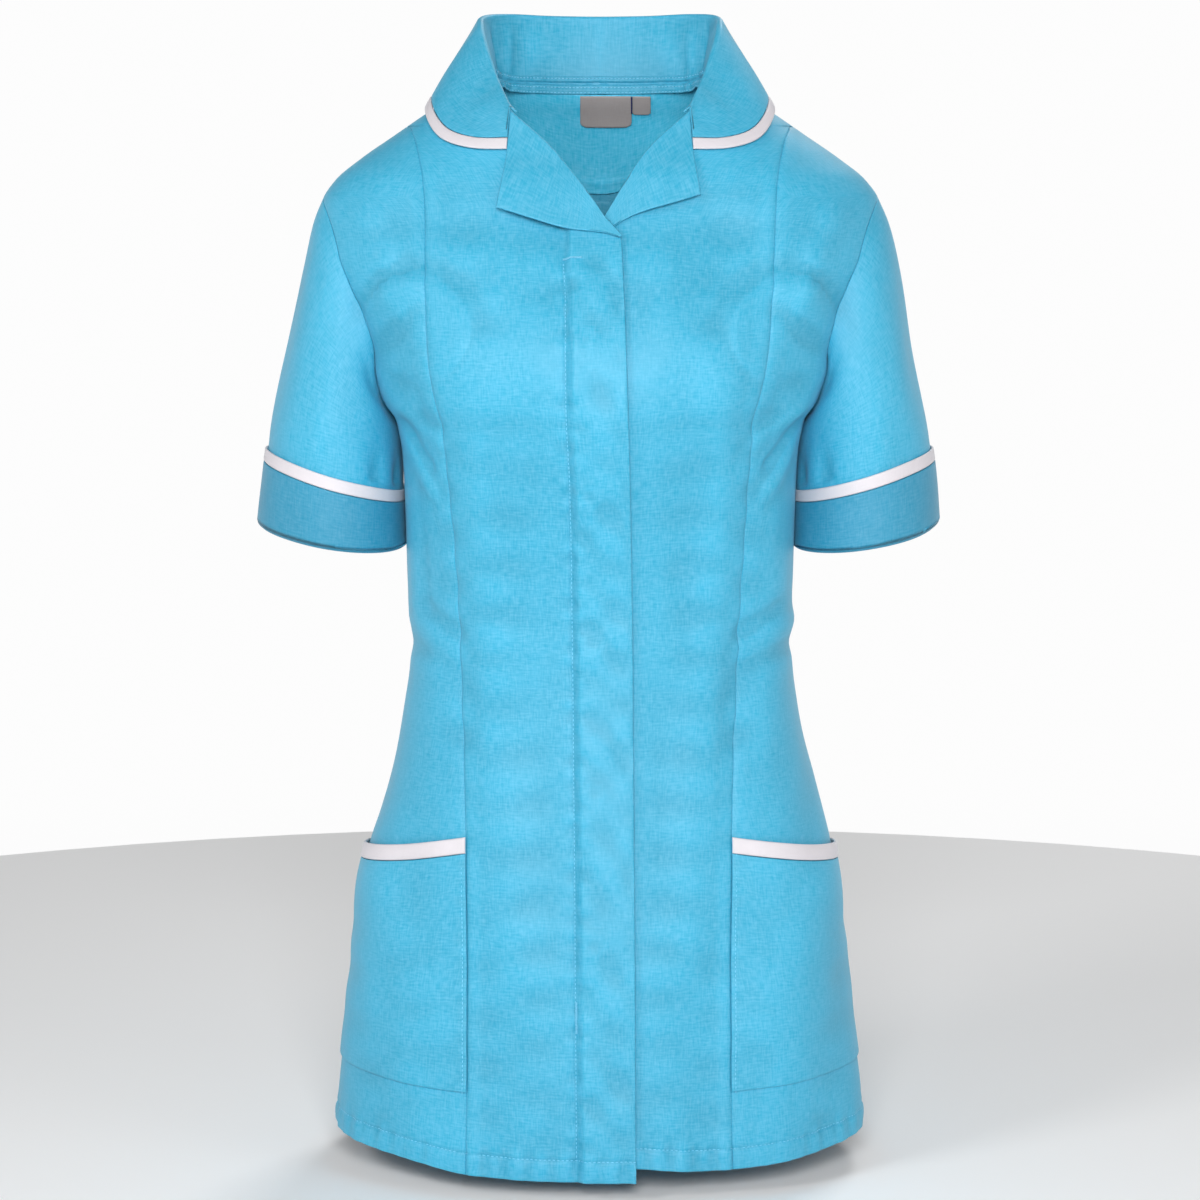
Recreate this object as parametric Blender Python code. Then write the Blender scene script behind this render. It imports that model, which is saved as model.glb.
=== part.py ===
"""A healthcare work tunic in the shape it has when worn, with nobody in it.

Metres, +Z up, the front faces -Y and the wearer's left is +X.  The origin lies midway
between the two points where the shoulder seams meet the neck seam, at their height:
the wearer's shoulders carry the tunic there.
"""

import math
from collections import namedtuple

import bmesh
import bpy
import numpy as np
from mathutils import Vector

# ---------------------------------------------------------------- cloth and gaps
CLOTH = 0.0012  # one layer of poly-cotton, with a little for its turned seams
DOUBLE = 0.0016  # two layers sewn together: collar, lapels and cuffs
BINDING = 0.0018  # bias tape folded over an edge
TAPE = 0.0010  # the narrow tape and the labels inside the neck
SEAM_GAP = 0.0004  # between two pieces that are sewn together
LAY_GAP = 0.0004  # between a piece and the panel it lies on
STEP = 0.0004  # how far apart two points are taken to find a direction

# ---------------------------------------------------------------- the worn form
# Level cuts through the tunic.  half_width, front and back are measured from the middle
# plane, side_y is where the side or shoulder line lies, and squareness is 2 for an
# ellipse and more for a flatter front.
Section = namedtuple("Section", "height half_width front back side_y squareness")
SECTIONS = (
    Section(0.004, 0.062, 0.036, 0.049, 0.006, 2.00),
    Section(0.000, 0.072, 0.041, 0.052, 0.006, 2.00),
    Section(-0.012, 0.097, 0.047, 0.0575, 0.006, 2.00),
    Section(-0.025, 0.118, 0.055, 0.066, 0.006, 2.00),
    Section(-0.040, 0.140, 0.061, 0.074, 0.005, 2.00),
    Section(-0.055, 0.162, 0.0675, 0.0805, 0.004, 2.05),
    Section(-0.070, 0.180, 0.0745, 0.086, 0.003, 2.10),
    Section(-0.085, 0.189, 0.081, 0.0905, 0.003, 2.15),
    Section(-0.105, 0.191, 0.090, 0.0955, 0.003, 2.20),
    Section(-0.120, 0.189, 0.098, 0.0985, 0.003, 2.25),
    Section(-0.140, 0.179, 0.108, 0.1015, 0.003, 2.30),
    Section(-0.160, 0.1665, 0.118, 0.103, 0.003, 2.35),
    Section(-0.180, 0.158, 0.1255, 0.1035, 0.003, 2.40),
    Section(-0.200, 0.1535, 0.1285, 0.103, 0.003, 2.45),
    Section(-0.218, 0.147, 0.128, 0.102, 0.003, 2.45),
    Section(-0.232, 0.138, 0.1255, 0.1005, 0.003, 2.45),
    Section(-0.255, 0.1338, 0.1205, 0.098, 0.002, 2.42),
    Section(-0.290, 0.1323, 0.1115, 0.0935, 0.002, 2.40),
    Section(-0.330, 0.1312, 0.103, 0.0885, 0.001, 2.36),
    Section(-0.370, 0.1305, 0.098, 0.0855, 0.001, 2.32),
    Section(-0.400, 0.1315, 0.0975, 0.087, 0.001, 2.30),
    Section(-0.427, 0.135, 0.099, 0.0915, 0.000, 2.28),
    Section(-0.455, 0.1405, 0.102, 0.0985, 0.000, 2.26),
    Section(-0.483, 0.148, 0.1055, 0.106, 0.000, 2.25),
    Section(-0.511, 0.1565, 0.109, 0.1125, 0.000, 2.25),
    Section(-0.540, 0.1630, 0.1125, 0.1165, 0.000, 2.25),
    Section(-0.582, 0.1706, 0.1165, 0.1195, 0.000, 2.25),
    Section(-0.625, 0.1755, 0.1195, 0.1215, 0.000, 2.25),
    Section(-0.682, 0.1808, 0.1235, 0.1235, 0.000, 2.25),
    Section(-0.745, 0.1855, 0.1275, 0.1255, 0.000, 2.25),
)
BUST_X, BUST_HEIGHT = 0.072, -0.190  # the fullest point that the princess seams give
BUST_RISE, BUST_SPREAD_X, BUST_SPREAD_Z = 0.004, 0.040, 0.050
# The cloth stands a little fuller in a round patch between the seam and the armhole.
FULL_X, FULL_HEIGHT, FULL_RADIUS = 0.120, -0.168, 0.037
FULL_RISE, FULL_EDGE = 0.0018, 0.010

# ---------------------------------------------------------------- seams and edges
ARMHOLE_Y, ARMHOLE_DEPTH = 0.003, 0.053  # the armhole's oval, seen from the side
ARMHOLE_TOP, ARMHOLE_BOTTOM = -0.081, -0.230
# Where the rows of cloth meet the armhole, in degrees from its top.
ARMHOLE_ANGLES = (0, 20, 37, 52.4, 70, 88, 105.6, 124, 143, 161, 180)
HEM_HEIGHT = -0.730  # the lowest row, before the hem's own line is put in
HEM_START = -0.600  # below this the hem's own slope shows in the rows
# The hem's height by distance from the centre line: it rises towards the sides, and the
# front beneath hangs a little shorter.
HEM_OVER = ((-0.024, -0.734), (0.040, -0.7335), (0.088, -0.7315), (0.127, -0.7265), (0.186, -0.7205))
HEM_UNDER = ((-0.012, -0.7235), (0.025, -0.7247), (0.072, -0.7285), (0.136, -0.7265), (0.186, -0.7205))
HEM_BACK = ((0.000, -0.729), (0.090, -0.7265), (0.186, -0.7205))
NECK_DIP = 0.0085  # how much lower the neck seam is at the centre back
FLY_LIFT = 0.0040  # the lapped front stands off the one beneath, with studs between
FLY_LIFT_TOP, FLY_LIFT_FULL = -0.055, -0.090  # heights where it starts and is complete
FLY_SLOPE = 0.006  # it rises to this over the cloth beside the stitching
UNDERLAP = 0.034  # how far the other front reaches beneath, from the lapping edge
SEAM_TOP = -0.0336  # where the princess seam leaves the shoulder seam
# Heights and distances from the centre line, each pair a point on that line.
PRINCESS_SEAM = (
    (-0.0336, 0.1285),
    (-0.045, 0.1235),
    (-0.078, 0.117),
    (-0.125, 0.115),
    (-0.183, 0.1125),
    (-0.215, 0.1075),
    (-0.235, 0.103),
    (-0.277, 0.1005),
    (-0.349, 0.0973),
    (-0.4085, 0.095),
    (-0.505, 0.089),
    (-0.673, 0.0887),
    (-0.745, 0.0897),
)
FLY_STITCHING = ((-0.122, 0.0241), (-0.150, 0.0225), (-0.215, 0.0221), (-0.270, 0.0197), (-0.360, 0.0184))
FLY_STITCHING += ((-0.430, 0.0176), (-0.600, 0.0163), (-0.745, 0.0155))
FLY_EDGE = ((-0.109, 0.0142), (-0.180, 0.0172), (-0.360, 0.0213), (-0.510, 0.0226), (-0.745, 0.024))
NECKLINE = ((0.000, 0.072), (-0.005, 0.0712), (-0.012, 0.0682), (-0.020, 0.0628), (-0.0285, 0.0545))
ROLL_OVER = ((-0.024, 0.059), (-0.049, 0.0314), (-0.0793, 0.0073), (-0.1016, -0.008), (-0.109, -0.0142))
ROLL_UNDER = ((-0.024, 0.059), (-0.0504, 0.0307), (-0.0735, 0.0149), (-0.0936, 0.0027), (-0.114, -0.0105))

# Rows of cloth, from the shoulder down.
TOP_ROWS = (-0.0006, -0.006, -0.0125, -0.0205, -0.0285, SEAM_TOP)
SHOULDER_ROWS = (SEAM_TOP - 0.0006, -0.037, -0.045, -0.057, -0.069)
ROWS_BELOW = (-0.250, -0.275, -0.305, -0.340, -0.375, -0.410, -0.443, -0.475, -0.507)
ROWS_BELOW += (-0.540, -0.575, -0.608, -0.642, -0.674, -0.705, HEM_HEIGHT)
BEYOND_FLY_COLUMNS, SIDE_COLUMNS, BACK_COLUMNS = 4, 4, 7

# ---------------------------------------------------------------- sleeve and cuff
# Rings from the armhole to the cuff.  Each runs from a point beside the body to a point
# on the outer line of the arm; middle_y and half_depth give its place front to back.
SleeveRing = namedtuple("SleeveRing", "in_x in_z out_x out_z middle_y half_depth")
SLEEVE_RINGS = (
    SleeveRing(0.1370, -0.2300, 0.1870, -0.0810, 0.003, 0.053),
    SleeveRing(0.1378, -0.2325, 0.1945, -0.0985, 0.0035, 0.055),
    SleeveRing(0.1378, -0.2350, 0.2028, -0.1280, 0.004, 0.057),
    SleeveRing(0.1376, -0.2375, 0.2096, -0.1600, 0.005, 0.059),
    SleeveRing(0.1374, -0.2410, 0.2155, -0.1900, 0.006, 0.060),
    SleeveRing(0.1372, -0.2490, 0.2212, -0.2180, 0.007, 0.060),
    SleeveRing(0.1370, -0.2640, 0.2254, -0.2385, 0.0075, 0.058),
    SleeveRing(0.1367, -0.2805, 0.2275, -0.2518, 0.008, 0.0565),
    SleeveRing(0.1365, -0.2885, 0.2291, -0.2606, 0.008, 0.056),
    SleeveRing(0.1363, -0.3045, 0.2320, -0.2825, 0.008, 0.055),
    SleeveRing(0.1362, -0.3195, 0.2341, -0.3030, 0.008, 0.054),
)
PIPING_TOP_RING, PIPING_END_RING = 7, 8
UNDERARM_LIFT = 0.35  # turns the sleeve's edge up under the arm, clear of the body's
CUFF_TILT = 0.0065  # the cuff's front hangs this much lower than its middle

# ---------------------------------------------------------------- collar and lapels
# From the centre back to the front end of the collar.  The fold is its highest line;
# the outer edge lies on the shoulders, given by its distance from the centre line and
# its height.
CollarKey = namedtuple("CollarKey", "neck_turn fold_x fold_y fold_z edge_x edge_z")
COLLAR_KEYS = (
    CollarKey(180, 0.000, 0.0660, 0.0430, 0.000, -0.0220),
    CollarKey(148, 0.034, 0.0655, 0.0435, 0.042, -0.0230),
    CollarKey(128, 0.063, 0.0600, 0.0445, 0.078, -0.0255),
    CollarKey(108, 0.0800, 0.0420, 0.0425, 0.102, -0.0270),
    CollarKey(90, 0.0815, 0.0160, 0.0350, 0.1155, -0.0240),
    CollarKey(66, 0.0770, -0.0060, 0.0185, 0.1130, -0.0350),
    CollarKey(52, 0.0710, -0.0230, 0.0005, 0.1035, -0.0452),
    CollarKey(38, 0.0650, -0.0375, -0.0125, 0.0850, -0.0503),
    CollarKey(28, 0.0600, -0.0500, -0.0225, 0.0612, -0.0508),
)
COLLAR_LIFT = 0.0045  # the outer edge stands this far off the shoulders
COLLAR_ROLL = 0.0028  # radius of the roll at the fold
STAND_BULGE = 0.0015  # how far the stand rounds in towards the neck
LEAN_START, LEAN_END = 0.55, 0.90  # along the collar, where its fold leans over
COLLAR_BULGE = 0.0018  # how far the fall rounds out between fold and edge
COLLAR_COLUMNS = 36
STAND_ROWS, ROLL_ROWS, FALL_ROWS, FALL_STEPS = 3, 4, 3, 12
PIPING_WIDTH = 0.0088
TAPE_WIDTH, TAPE_BELOW, TAPE_END = 0.013, 0.0010, 0.47
# Lapel outlines as (distance from centre, height): side from the gorge down to the
# point, then the lower edge from the point back to the break.
LapelShape = namedtuple("LapelShape", "side lower roll hem lifted loft")
LAPEL_OVER = LapelShape(
    side=((0.0590, -0.0240), (0.0610, -0.0520), (0.0680, -0.0903)),
    lower=((0.0680, -0.0903), (0.0245, -0.1026), (-0.0027, -0.1066), (-0.0128, -0.1100)),
    roll=ROLL_OVER,
    hem=HEM_OVER,
    lifted=True,
    loft=0.0012,
)
LAPEL_UNDER = LapelShape(
    side=((0.0590, -0.0240), (0.0610, -0.0520), (0.0663, -0.0809)),
    lower=((0.0663, -0.0809), (0.0451, -0.0876), (0.0196, -0.0950), (-0.0105, -0.1165)),
    roll=ROLL_UNDER,
    hem=HEM_UNDER,
    lifted=False,
    loft=0.0032,
)
LAPEL_FLAT_X, LAPEL_FLAT_TOP = 0.012, -0.040  # it lies flat inside and above these
LAPEL_COLUMNS, LAPEL_ROWS = 8, 5

# ---------------------------------------------------------------- pockets
# Heights at the princess seam and at the side seam.
MOUTH_AT_SEAM, MOUTH_AT_SIDE = -0.506, -0.524
BOTTOM_AT_SEAM, BOTTOM_AT_SIDE = -0.676, -0.671
MOUTH_BINDING = 0.011
MOUTH_GAPE, MOUTH_SAG = 0.0022, 0.003
POCKET_ROWS = 5

# ---------------------------------------------------------------- inside the neck
FACING_DEPTH, FACING_HALF_WIDTH, FACING_CURVE = 0.079, 0.068, 10.0
FACING_BELOW = 0.0016  # below the neck seam, so that it clears the tape
FACING_COLUMNS, FACING_ROWS = 12, 4
LabelShape = namedtuple("LabelShape", "name left right top bottom")
LABELS = (
    LabelShape("label", -0.0140, 0.0224, -0.0104, -0.0312),
    LabelShape("size_tab", 0.0229, 0.0358, -0.0104, -0.0222),
)

# ---------------------------------------------------------------- press studs
STUD_COUNT, STUD_FIRST, STUD_PITCH = 5, -0.175, 0.100
STUD_FROM_STITCHING, STUD_RADIUS, STUD_THICKNESS = 0.0125, 0.0055, 0.0016

# ---------------------------------------------------------------- colours
Finish = namedtuple("Finish", "colour roughness metallic")
SKY_CLOTH = Finish((0.105, 0.520, 0.830, 1.0), 0.75, 0.0)
CUFF_CLOTH = Finish((0.080, 0.420, 0.700, 1.0), 0.75, 0.0)
WHITE_CLOTH = Finish((0.860, 0.820, 0.840, 1.0), 0.75, 0.0)
GREY_LABEL = Finish((0.300, 0.280, 0.280, 1.0), 0.60, 0.0)
STUD_METAL = Finish((0.550, 0.560, 0.580, 1.0), 0.35, 1.0)


def smooth_curve(places, values):
    """A curve through the given points that never overshoots them."""
    order = np.argsort(places)
    xs = np.asarray(places, float)[order]
    ys = np.asarray(values, float)[order]
    steps = np.diff(xs)
    slopes = np.diff(ys) / steps
    bends = np.concatenate([slopes[:1], np.zeros(len(xs) - 2), slopes[-1:]])
    for i in range(1, len(xs) - 1):
        if slopes[i - 1] * slopes[i] > 0:
            first = 2 * steps[i] + steps[i - 1]
            second = steps[i] + 2 * steps[i - 1]
            bends[i] = (first + second) / (first / slopes[i - 1] + second / slopes[i])

    def at(x):
        x = np.clip(x, xs[0], xs[-1])
        i = np.clip(np.searchsorted(xs, x, side="right") - 1, 0, len(steps) - 1)
        h = steps[i]
        t = (x - xs[i]) / h
        rest = 1 - t
        ends = ys[i] * rest * rest * (1 + 2 * t) + ys[i + 1] * t * t * (3 - 2 * t)
        return ends + h * t * rest * (bends[i] * rest - bends[i + 1] * t)

    return at


def line_through(points):
    """A smooth curve through pairs, read by the first number of each."""
    return smooth_curve([p[0] for p in points], [p[1] for p in points])


HEIGHTS = [s.height for s in SECTIONS]
HALF_WIDTH, FRONT, BACK, SIDE_Y, SQUARENESS = (
    smooth_curve(HEIGHTS, [getattr(s, name) for s in SECTIONS]) for name in Section._fields[1:]
)
princess_x = line_through(PRINCESS_SEAM)
fly_edge_x = line_through(FLY_EDGE)
fly_stitch_x = line_through(FLY_STITCHING)
neckline_x = line_through(NECKLINE)


def ease(t):
    """0 below 0, 1 above 1, and smooth between."""
    t = np.clip(t, 0.0, 1.0)
    return t * t * (3 - 2 * t)


def fullness(x, z):
    """How far the front stands out beyond the plain sections."""
    x = np.abs(x)
    bust = np.exp(-(((x - BUST_X) / BUST_SPREAD_X) ** 2) - ((z - BUST_HEIGHT) / BUST_SPREAD_Z) ** 2)
    away = np.hypot(x - FULL_X, z - FULL_HEIGHT) - FULL_RADIUS
    return BUST_RISE * bust + FULL_RISE * ease(-away / FULL_EDGE)


def form(turn, height):
    """The outer face of the worn tunic.  turn is 0 at the centre front, 90 degrees at the
    wearer's left side or shoulder line, and 180 at the centre back."""
    turn, height = np.broadcast_arrays(np.asarray(turn, float), np.asarray(height, float))
    side, ahead = np.sin(np.radians(turn)), np.cos(np.radians(turn))
    power = 2 / SQUARENESS(height)
    x = HALF_WIDTH(height) * np.sign(side) * np.abs(side) ** power
    reach = np.abs(ahead) ** power
    side_y = SIDE_Y(height)
    front_y = side_y - (FRONT(height) + side_y) * reach - fullness(x, height) * ease(2 * ahead)
    back_y = side_y + (BACK(height) - side_y) * reach
    return np.stack([x, np.where(ahead >= 0, front_y, back_y), height], axis=-1)


def form_normal(turn, height):
    """The direction straight out of the cloth."""
    around = form(turn + 0.2, height) - form(turn - 0.2, height)
    up = form(turn, height + STEP) - form(turn, height - STEP)
    out = np.cross(around, up)
    return out / np.linalg.norm(out, axis=-1, keepdims=True)


def turn_at_x(x, height):
    """The turn on the front where the form is x from the centre line."""
    share = np.clip(np.abs(x) / HALF_WIDTH(height), 0, 1)
    return np.sign(x) * np.degrees(np.arcsin(share ** (SQUARENESS(height) / 2)))


def turn_at_y(y, height):
    """The turn on the wearer's left where the form is at y, front or back."""
    side_y = SIDE_Y(height)
    depth = np.where(y < side_y, FRONT(height) + side_y, BACK(height) - side_y)
    share = np.clip(np.abs(y - side_y) / depth, 0, 1)
    ahead = np.degrees(np.arccos(share ** (SQUARENESS(height) / 2)))
    return np.where(y < side_y, ahead, 180 - ahead)


def armhole_height(angle):
    """The height on the armhole at an angle from its top."""
    middle = (ARMHOLE_TOP + ARMHOLE_BOTTOM) / 2
    half = (ARMHOLE_TOP - ARMHOLE_BOTTOM) / 2
    return middle + half * np.cos(angle)


def armhole_turn(height, is_front):
    """The turn where a level row ends at the armhole."""
    middle = (ARMHOLE_TOP + ARMHOLE_BOTTOM) / 2
    half = (ARMHOLE_TOP - ARMHOLE_BOTTOM) / 2
    across = math.sqrt(max(0.0, 1 - ((height - middle) / half) ** 2))
    y = ARMHOLE_Y + (-1 if is_front else 1) * ARMHOLE_DEPTH * across
    return float(turn_at_y(y, height))


# ---------------------------------------------------------------- making solids
def collection_named(name):
    made = bpy.data.collections.new(name)
    bpy.context.scene.collection.children.link(made)
    return made


def material_named(name, finish):
    made = bpy.data.materials.new(name)
    made.use_nodes = True
    surface = made.node_tree.nodes["Principled BSDF"]
    surface.inputs["Base Color"].default_value = finish.colour
    surface.inputs["Roughness"].default_value = finish.roughness
    surface.inputs["Metallic"].default_value = finish.metallic
    return made


def unit(vectors):
    return vectors / np.linalg.norm(vectors, axis=-1, keepdims=True)


def pull_in(grid, first, last=None, ends="columns"):
    """Moves a grid's first and last lines of points inwards, to leave a seam gap."""
    last = first if last is None else last
    grid = grid.copy() if ends == "columns" else np.swapaxes(grid, 0, 1).copy()
    grid[:, 0] += first * unit(grid[:, 1] - grid[:, 0])
    grid[:, -1] += last * unit(grid[:, -2] - grid[:, -1])
    return grid if ends == "columns" else np.swapaxes(grid, 0, 1)


def wall(name, outer, inward, thickness, material, collection, tube=False, mirror=False):
    """A cloth wall: a loft through the outer grid of points, and through the same points
    moved inwards, closed round its edges.  Its neighbours share the inward directions at
    a seam, so that two walls never cross there."""
    inner = outer + inward * thickness
    if mirror:
        flip = np.array([-1.0, 1.0, 1.0])
        outer, inner = outer * flip, inner * flip
    rows, columns = outer.shape[:2]
    shell = bmesh.new()
    faces = [[[shell.verts.new(p) for p in row] for row in side] for side in (outer, inner)]
    last = columns if tube else columns - 1

    def quad(a, b, c, d):
        shell.faces.new((a, b, c, d))

    for side in faces:
        for i in range(rows - 1):
            for j in range(last):
                k = (j + 1) % columns
                quad(side[i][j], side[i][k], side[i + 1][k], side[i + 1][j])
    out, back = faces
    for i in (0, rows - 1):
        for j in range(last):
            k = (j + 1) % columns
            quad(out[i][j], out[i][k], back[i][k], back[i][j])
    if not tube:
        for j in (0, columns - 1):
            for i in range(rows - 1):
                quad(out[i][j], out[i + 1][j], back[i + 1][j], back[i][j])
    bmesh.ops.recalc_face_normals(shell, faces=shell.faces)
    mesh = bpy.data.meshes.new(name)
    shell.to_mesh(mesh)
    shell.free()
    mesh.shade_smooth()
    mesh.set_sharp_from_angle(angle=math.radians(40))
    mesh.materials.append(material)
    made = bpy.data.objects.new(name, mesh)
    collection.objects.link(made)
    return made


def side_name(mirror):
    """The wearer's right is the mirrored side."""
    return "right" if mirror else "left"


# ---------------------------------------------------------------- body panels
def fly_lift(x, z):
    """How far the lapping front stands off: x runs from its own side, so it is negative
    past the centre line."""
    return ease((fly_stitch_x(z) - x) / FLY_SLOPE) * fly_lift_at(z)


def fly_lift_at(z):
    """How far it stands off at its edge."""
    return FLY_LIFT * ease((FLY_LIFT_TOP - z) / (FLY_LIFT_TOP - FLY_LIFT_FULL))


def hemmed(turns, heights, hem):
    """Heights with the lowest rows spread so that the last one follows the hem's line."""
    line = line_through(hem)(np.abs(form(turns, heights)[..., 0]) * np.sign(turns))
    share = np.clip((HEM_START - heights) / (HEM_START - HEM_HEIGHT), 0, 1)
    return heights + (line - HEM_HEIGHT) * share


def panel_rows(first):
    beside_armhole = [float(armhole_height(a)) for a in np.radians(ARMHOLE_ANGLES)]
    rows = [*TOP_ROWS, *SHOULDER_ROWS, *beside_armhole, *ROWS_BELOW]
    return [z for z in rows if z <= first]


def panel_grid(rows, start, end, columns):
    """Turns and heights of a panel: each level row runs from start to end."""
    share = np.linspace(0, 1, columns + 1)
    turns = np.array([start(z) + (end(z) - start(z)) * share for z in rows])
    return turns, level(rows, columns + 1)


def level(rows, count):
    """The heights of level rows, once for every point along them."""
    return np.repeat(np.array(rows)[:, None], count, axis=1)


def princess_turn(z):
    return 90.0 if z >= SEAM_TOP else float(turn_at_x(princess_x(z), z))


def front_start(z, lapel):
    """Where a front's row starts: on the neck seam, on the roll line, then at its edge."""
    if z >= NECKLINE[-1][0]:
        return neckline_x(z)
    if z > lapel.roll[-1][0]:
        return line_through(lapel.roll)(z)
    return -fly_edge_x(z) if lapel.lifted else fly_edge_x(z) - UNDERLAP


def make_front(lapel, mirror, material, collection):
    """A front.  Its first columns lie either side of the fly's line of stitching."""
    rows = panel_rows(TOP_ROWS[0])
    turns = []
    for z in rows:
        start, end = turn_at_x(front_start(z, lapel), z), princess_turn(z)
        slope_end = turn_at_x(fly_stitch_x(z), z)
        slope_start = turn_at_x(fly_stitch_x(z) - FLY_SLOPE, z)
        if z > lapel.roll[-1][0]:
            turns.append(np.linspace(start, end, BEYOND_FLY_COLUMNS + 4))
        else:
            beyond = np.linspace(slope_end, end, BEYOND_FLY_COLUMNS + 1)
            turns.append([start, (start + slope_start) / 2, slope_start, *beyond])
    turns = np.array(turns)
    heights = level(rows, turns.shape[1])
    heights = hemmed(turns, heights, lapel.hem)
    normals = form_normal(turns, heights)
    points = form(turns, heights)
    if lapel.lifted:
        points = points + normals * fly_lift(points[..., 0], heights)[..., None]
    points = pull_in(points, SEAM_GAP / 2)
    name = "front_" + side_name(mirror)
    wall(name, points, -normals, CLOTH, material, collection, mirror=mirror)


def side_end(is_front):
    """Where a row ends at the shoulder line, the armhole or the side seam."""

    def end(z):
        inside = ARMHOLE_BOTTOM + STEP < z < ARMHOLE_TOP - STEP
        return armhole_turn(z, is_front) if inside else 90.0

    return end


def make_side_front(lapel, mirror, material, collection):
    rows = panel_rows(SHOULDER_ROWS[0])
    turns, heights = panel_grid(rows, princess_turn, side_end(True), SIDE_COLUMNS)
    heights = hemmed(turns, heights, lapel.hem)
    points = pull_in(form(turns, heights), SEAM_GAP / 2, SEAM_GAP)
    name = "side_front_" + side_name(mirror)
    wall(name, points, -form_normal(turns, heights), CLOTH, material, collection, mirror=mirror)


def make_back(mirror, material, collection):
    """Half the back.  Its top row follows the neck seam, which dips at the centre."""
    rows = panel_rows(TOP_ROWS[0])
    turns, heights = panel_grid(rows, lambda z: 180.0, side_end(False), BACK_COLUMNS)
    dip = NECK_DIP * np.cos(np.radians(turns)) ** 2
    fade = ease((np.array(rows) - SEAM_TOP) / (TOP_ROWS[0] - SEAM_TOP))
    heights = hemmed(turns, heights - dip * fade[:, None], HEM_BACK)
    points = pull_in(form(turns, heights), SEAM_GAP / 2, SEAM_GAP)
    name = "back_" + side_name(mirror)
    wall(name, points, -form_normal(turns, heights), CLOTH, material, collection, mirror=mirror)


# ---------------------------------------------------------------- sleeves
def sleeve_grid():
    """Rings of points from the armhole seam to the end of the sleeve, and the directions
    into the cloth at each.  The first ring is the armhole's own edge."""
    down_the_front = np.radians(ARMHOLE_ANGLES)
    around = np.concatenate([down_the_front, 2 * math.pi - down_the_front[-2:0:-1]])
    edge_z = armhole_height(around)
    edge_y = ARMHOLE_Y - ARMHOLE_DEPTH * np.sin(around)
    at_ends = np.abs(np.sin(around)) < STEP
    edge_turn = np.where(at_ends, 90.0, turn_at_y(edge_y, edge_z))
    armhole = form(edge_turn, edge_z)
    rings = []
    for ring in SLEEVE_RINGS:
        inner = np.array([ring.in_x, ring.middle_y, ring.in_z])
        outer = np.array([ring.out_x, ring.middle_y, ring.out_z])
        centre, reach = (inner + outer) / 2, (outer - inner) / 2
        depth = np.array([0.0, -ring.half_depth, 0.0])
        rings.append(centre + np.outer(np.cos(around), reach) + np.outer(np.sin(around), depth))
    rings = np.array(rings)
    plain_edge = rings[0].copy()
    share = np.linspace(0, 1, PIPING_TOP_RING + 1)
    for i in range(PIPING_TOP_RING):
        rings[i] += (armhole - plain_edge) * (1 - ease(share[i] * 1.4)) ** 2
    rings[..., 2] -= np.linspace(0, 1, len(rings))[:, None] ** 4 * CUFF_TILT * np.sin(around)
    rings[0] += 2 * SEAM_GAP * unit(rings[1] - rings[0])
    along = np.gradient(rings, axis=0)
    across = np.roll(rings, -1, axis=1) - np.roll(rings, 1, axis=1)
    inward = unit(np.cross(across, along))
    to_middle = rings.mean(axis=1, keepdims=True) - rings
    inward *= np.sign((inward * to_middle).sum(axis=-1, keepdims=True))
    into_body = -form_normal(edge_turn, edge_z)
    lifted = np.outer(1 - np.cos(around), np.array([0.0, 0.0, UNDERARM_LIFT]))
    inward[0] = unit(into_body * 0.6 + inward[0] * 0.4 + lifted)
    return rings, inward


def make_sleeve(mirror, materials, collection):
    rings, inward = sleeve_grid()
    side = side_name(mirror)
    cloth = materials["cloth"]
    wall("sleeve_" + side, rings, inward, CLOTH, cloth, collection, tube=True, mirror=mirror)
    bands = (
        ("cuff_piping_", slice(PIPING_TOP_RING, PIPING_END_RING + 1), BINDING, "white"),
        ("cuff_", slice(PIPING_END_RING, len(rings)), DOUBLE, "cuff"),
    )
    for name, taken, thickness, finish in bands:
        band = rings[taken] - inward[taken] * (LAY_GAP + thickness)
        band = pull_in(band, SEAM_GAP / 2, ends="rows")
        facing_in, surface = inward[taken], materials[finish]
        wall(name + side, band, facing_in, thickness, surface, collection, tube=True, mirror=mirror)


# ---------------------------------------------------------------- collar
def key_curve(name):
    """One column of the collar's keys as a smooth curve from the centre back, at 0, to
    the front end, at 1."""
    values = np.array([getattr(k, name) for k in COLLAR_KEYS], float)
    count = len(values) - 1

    def at(s):
        place = np.clip(np.abs(s), 0, 1) * count
        i = np.clip(place.astype(int), 0, count - 1)
        t = place - i
        before = np.where(i > 0, values[np.maximum(i - 1, 0)], START_MIRROR[name] * values[1])
        after = values[np.minimum(i + 2, count)]
        a, b = values[i], values[i + 1]
        squared = (2 * before - 5 * a + 4 * b - after) * t**2
        cubed = (3 * a - before - 3 * b + after) * t**3
        return 0.5 * (2 * a + (b - before) * t + squared + cubed)

    return at


# The collar's two halves meet at the centre back, where x changes sign.
START_MIRROR = {"neck_turn": 1, "fold_x": -1, "fold_y": 1, "fold_z": 1, "edge_x": -1, "edge_z": 1}


def neck_point(turn):
    """A point on the neck seam, and its height, at a turn round the neck."""
    low, high = NECKLINE[-1][0], 0.0
    if turn >= 90:
        height = -NECK_DIP * math.cos(math.radians(turn)) ** 2
        return form(turn, height), height
    for _ in range(30):
        height = (low + high) / 2
        if turn_at_x(neckline_x(height), height) < turn:
            low = height
        else:
            high = height
    return form(turn, height), height


def fold_lean(s):
    """How far the collar's fold has turned from standing up, 0, to lying on the chest, 1."""
    return ease((np.abs(s) - LEAN_START) / (LEAN_END - LEAN_START))


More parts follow.
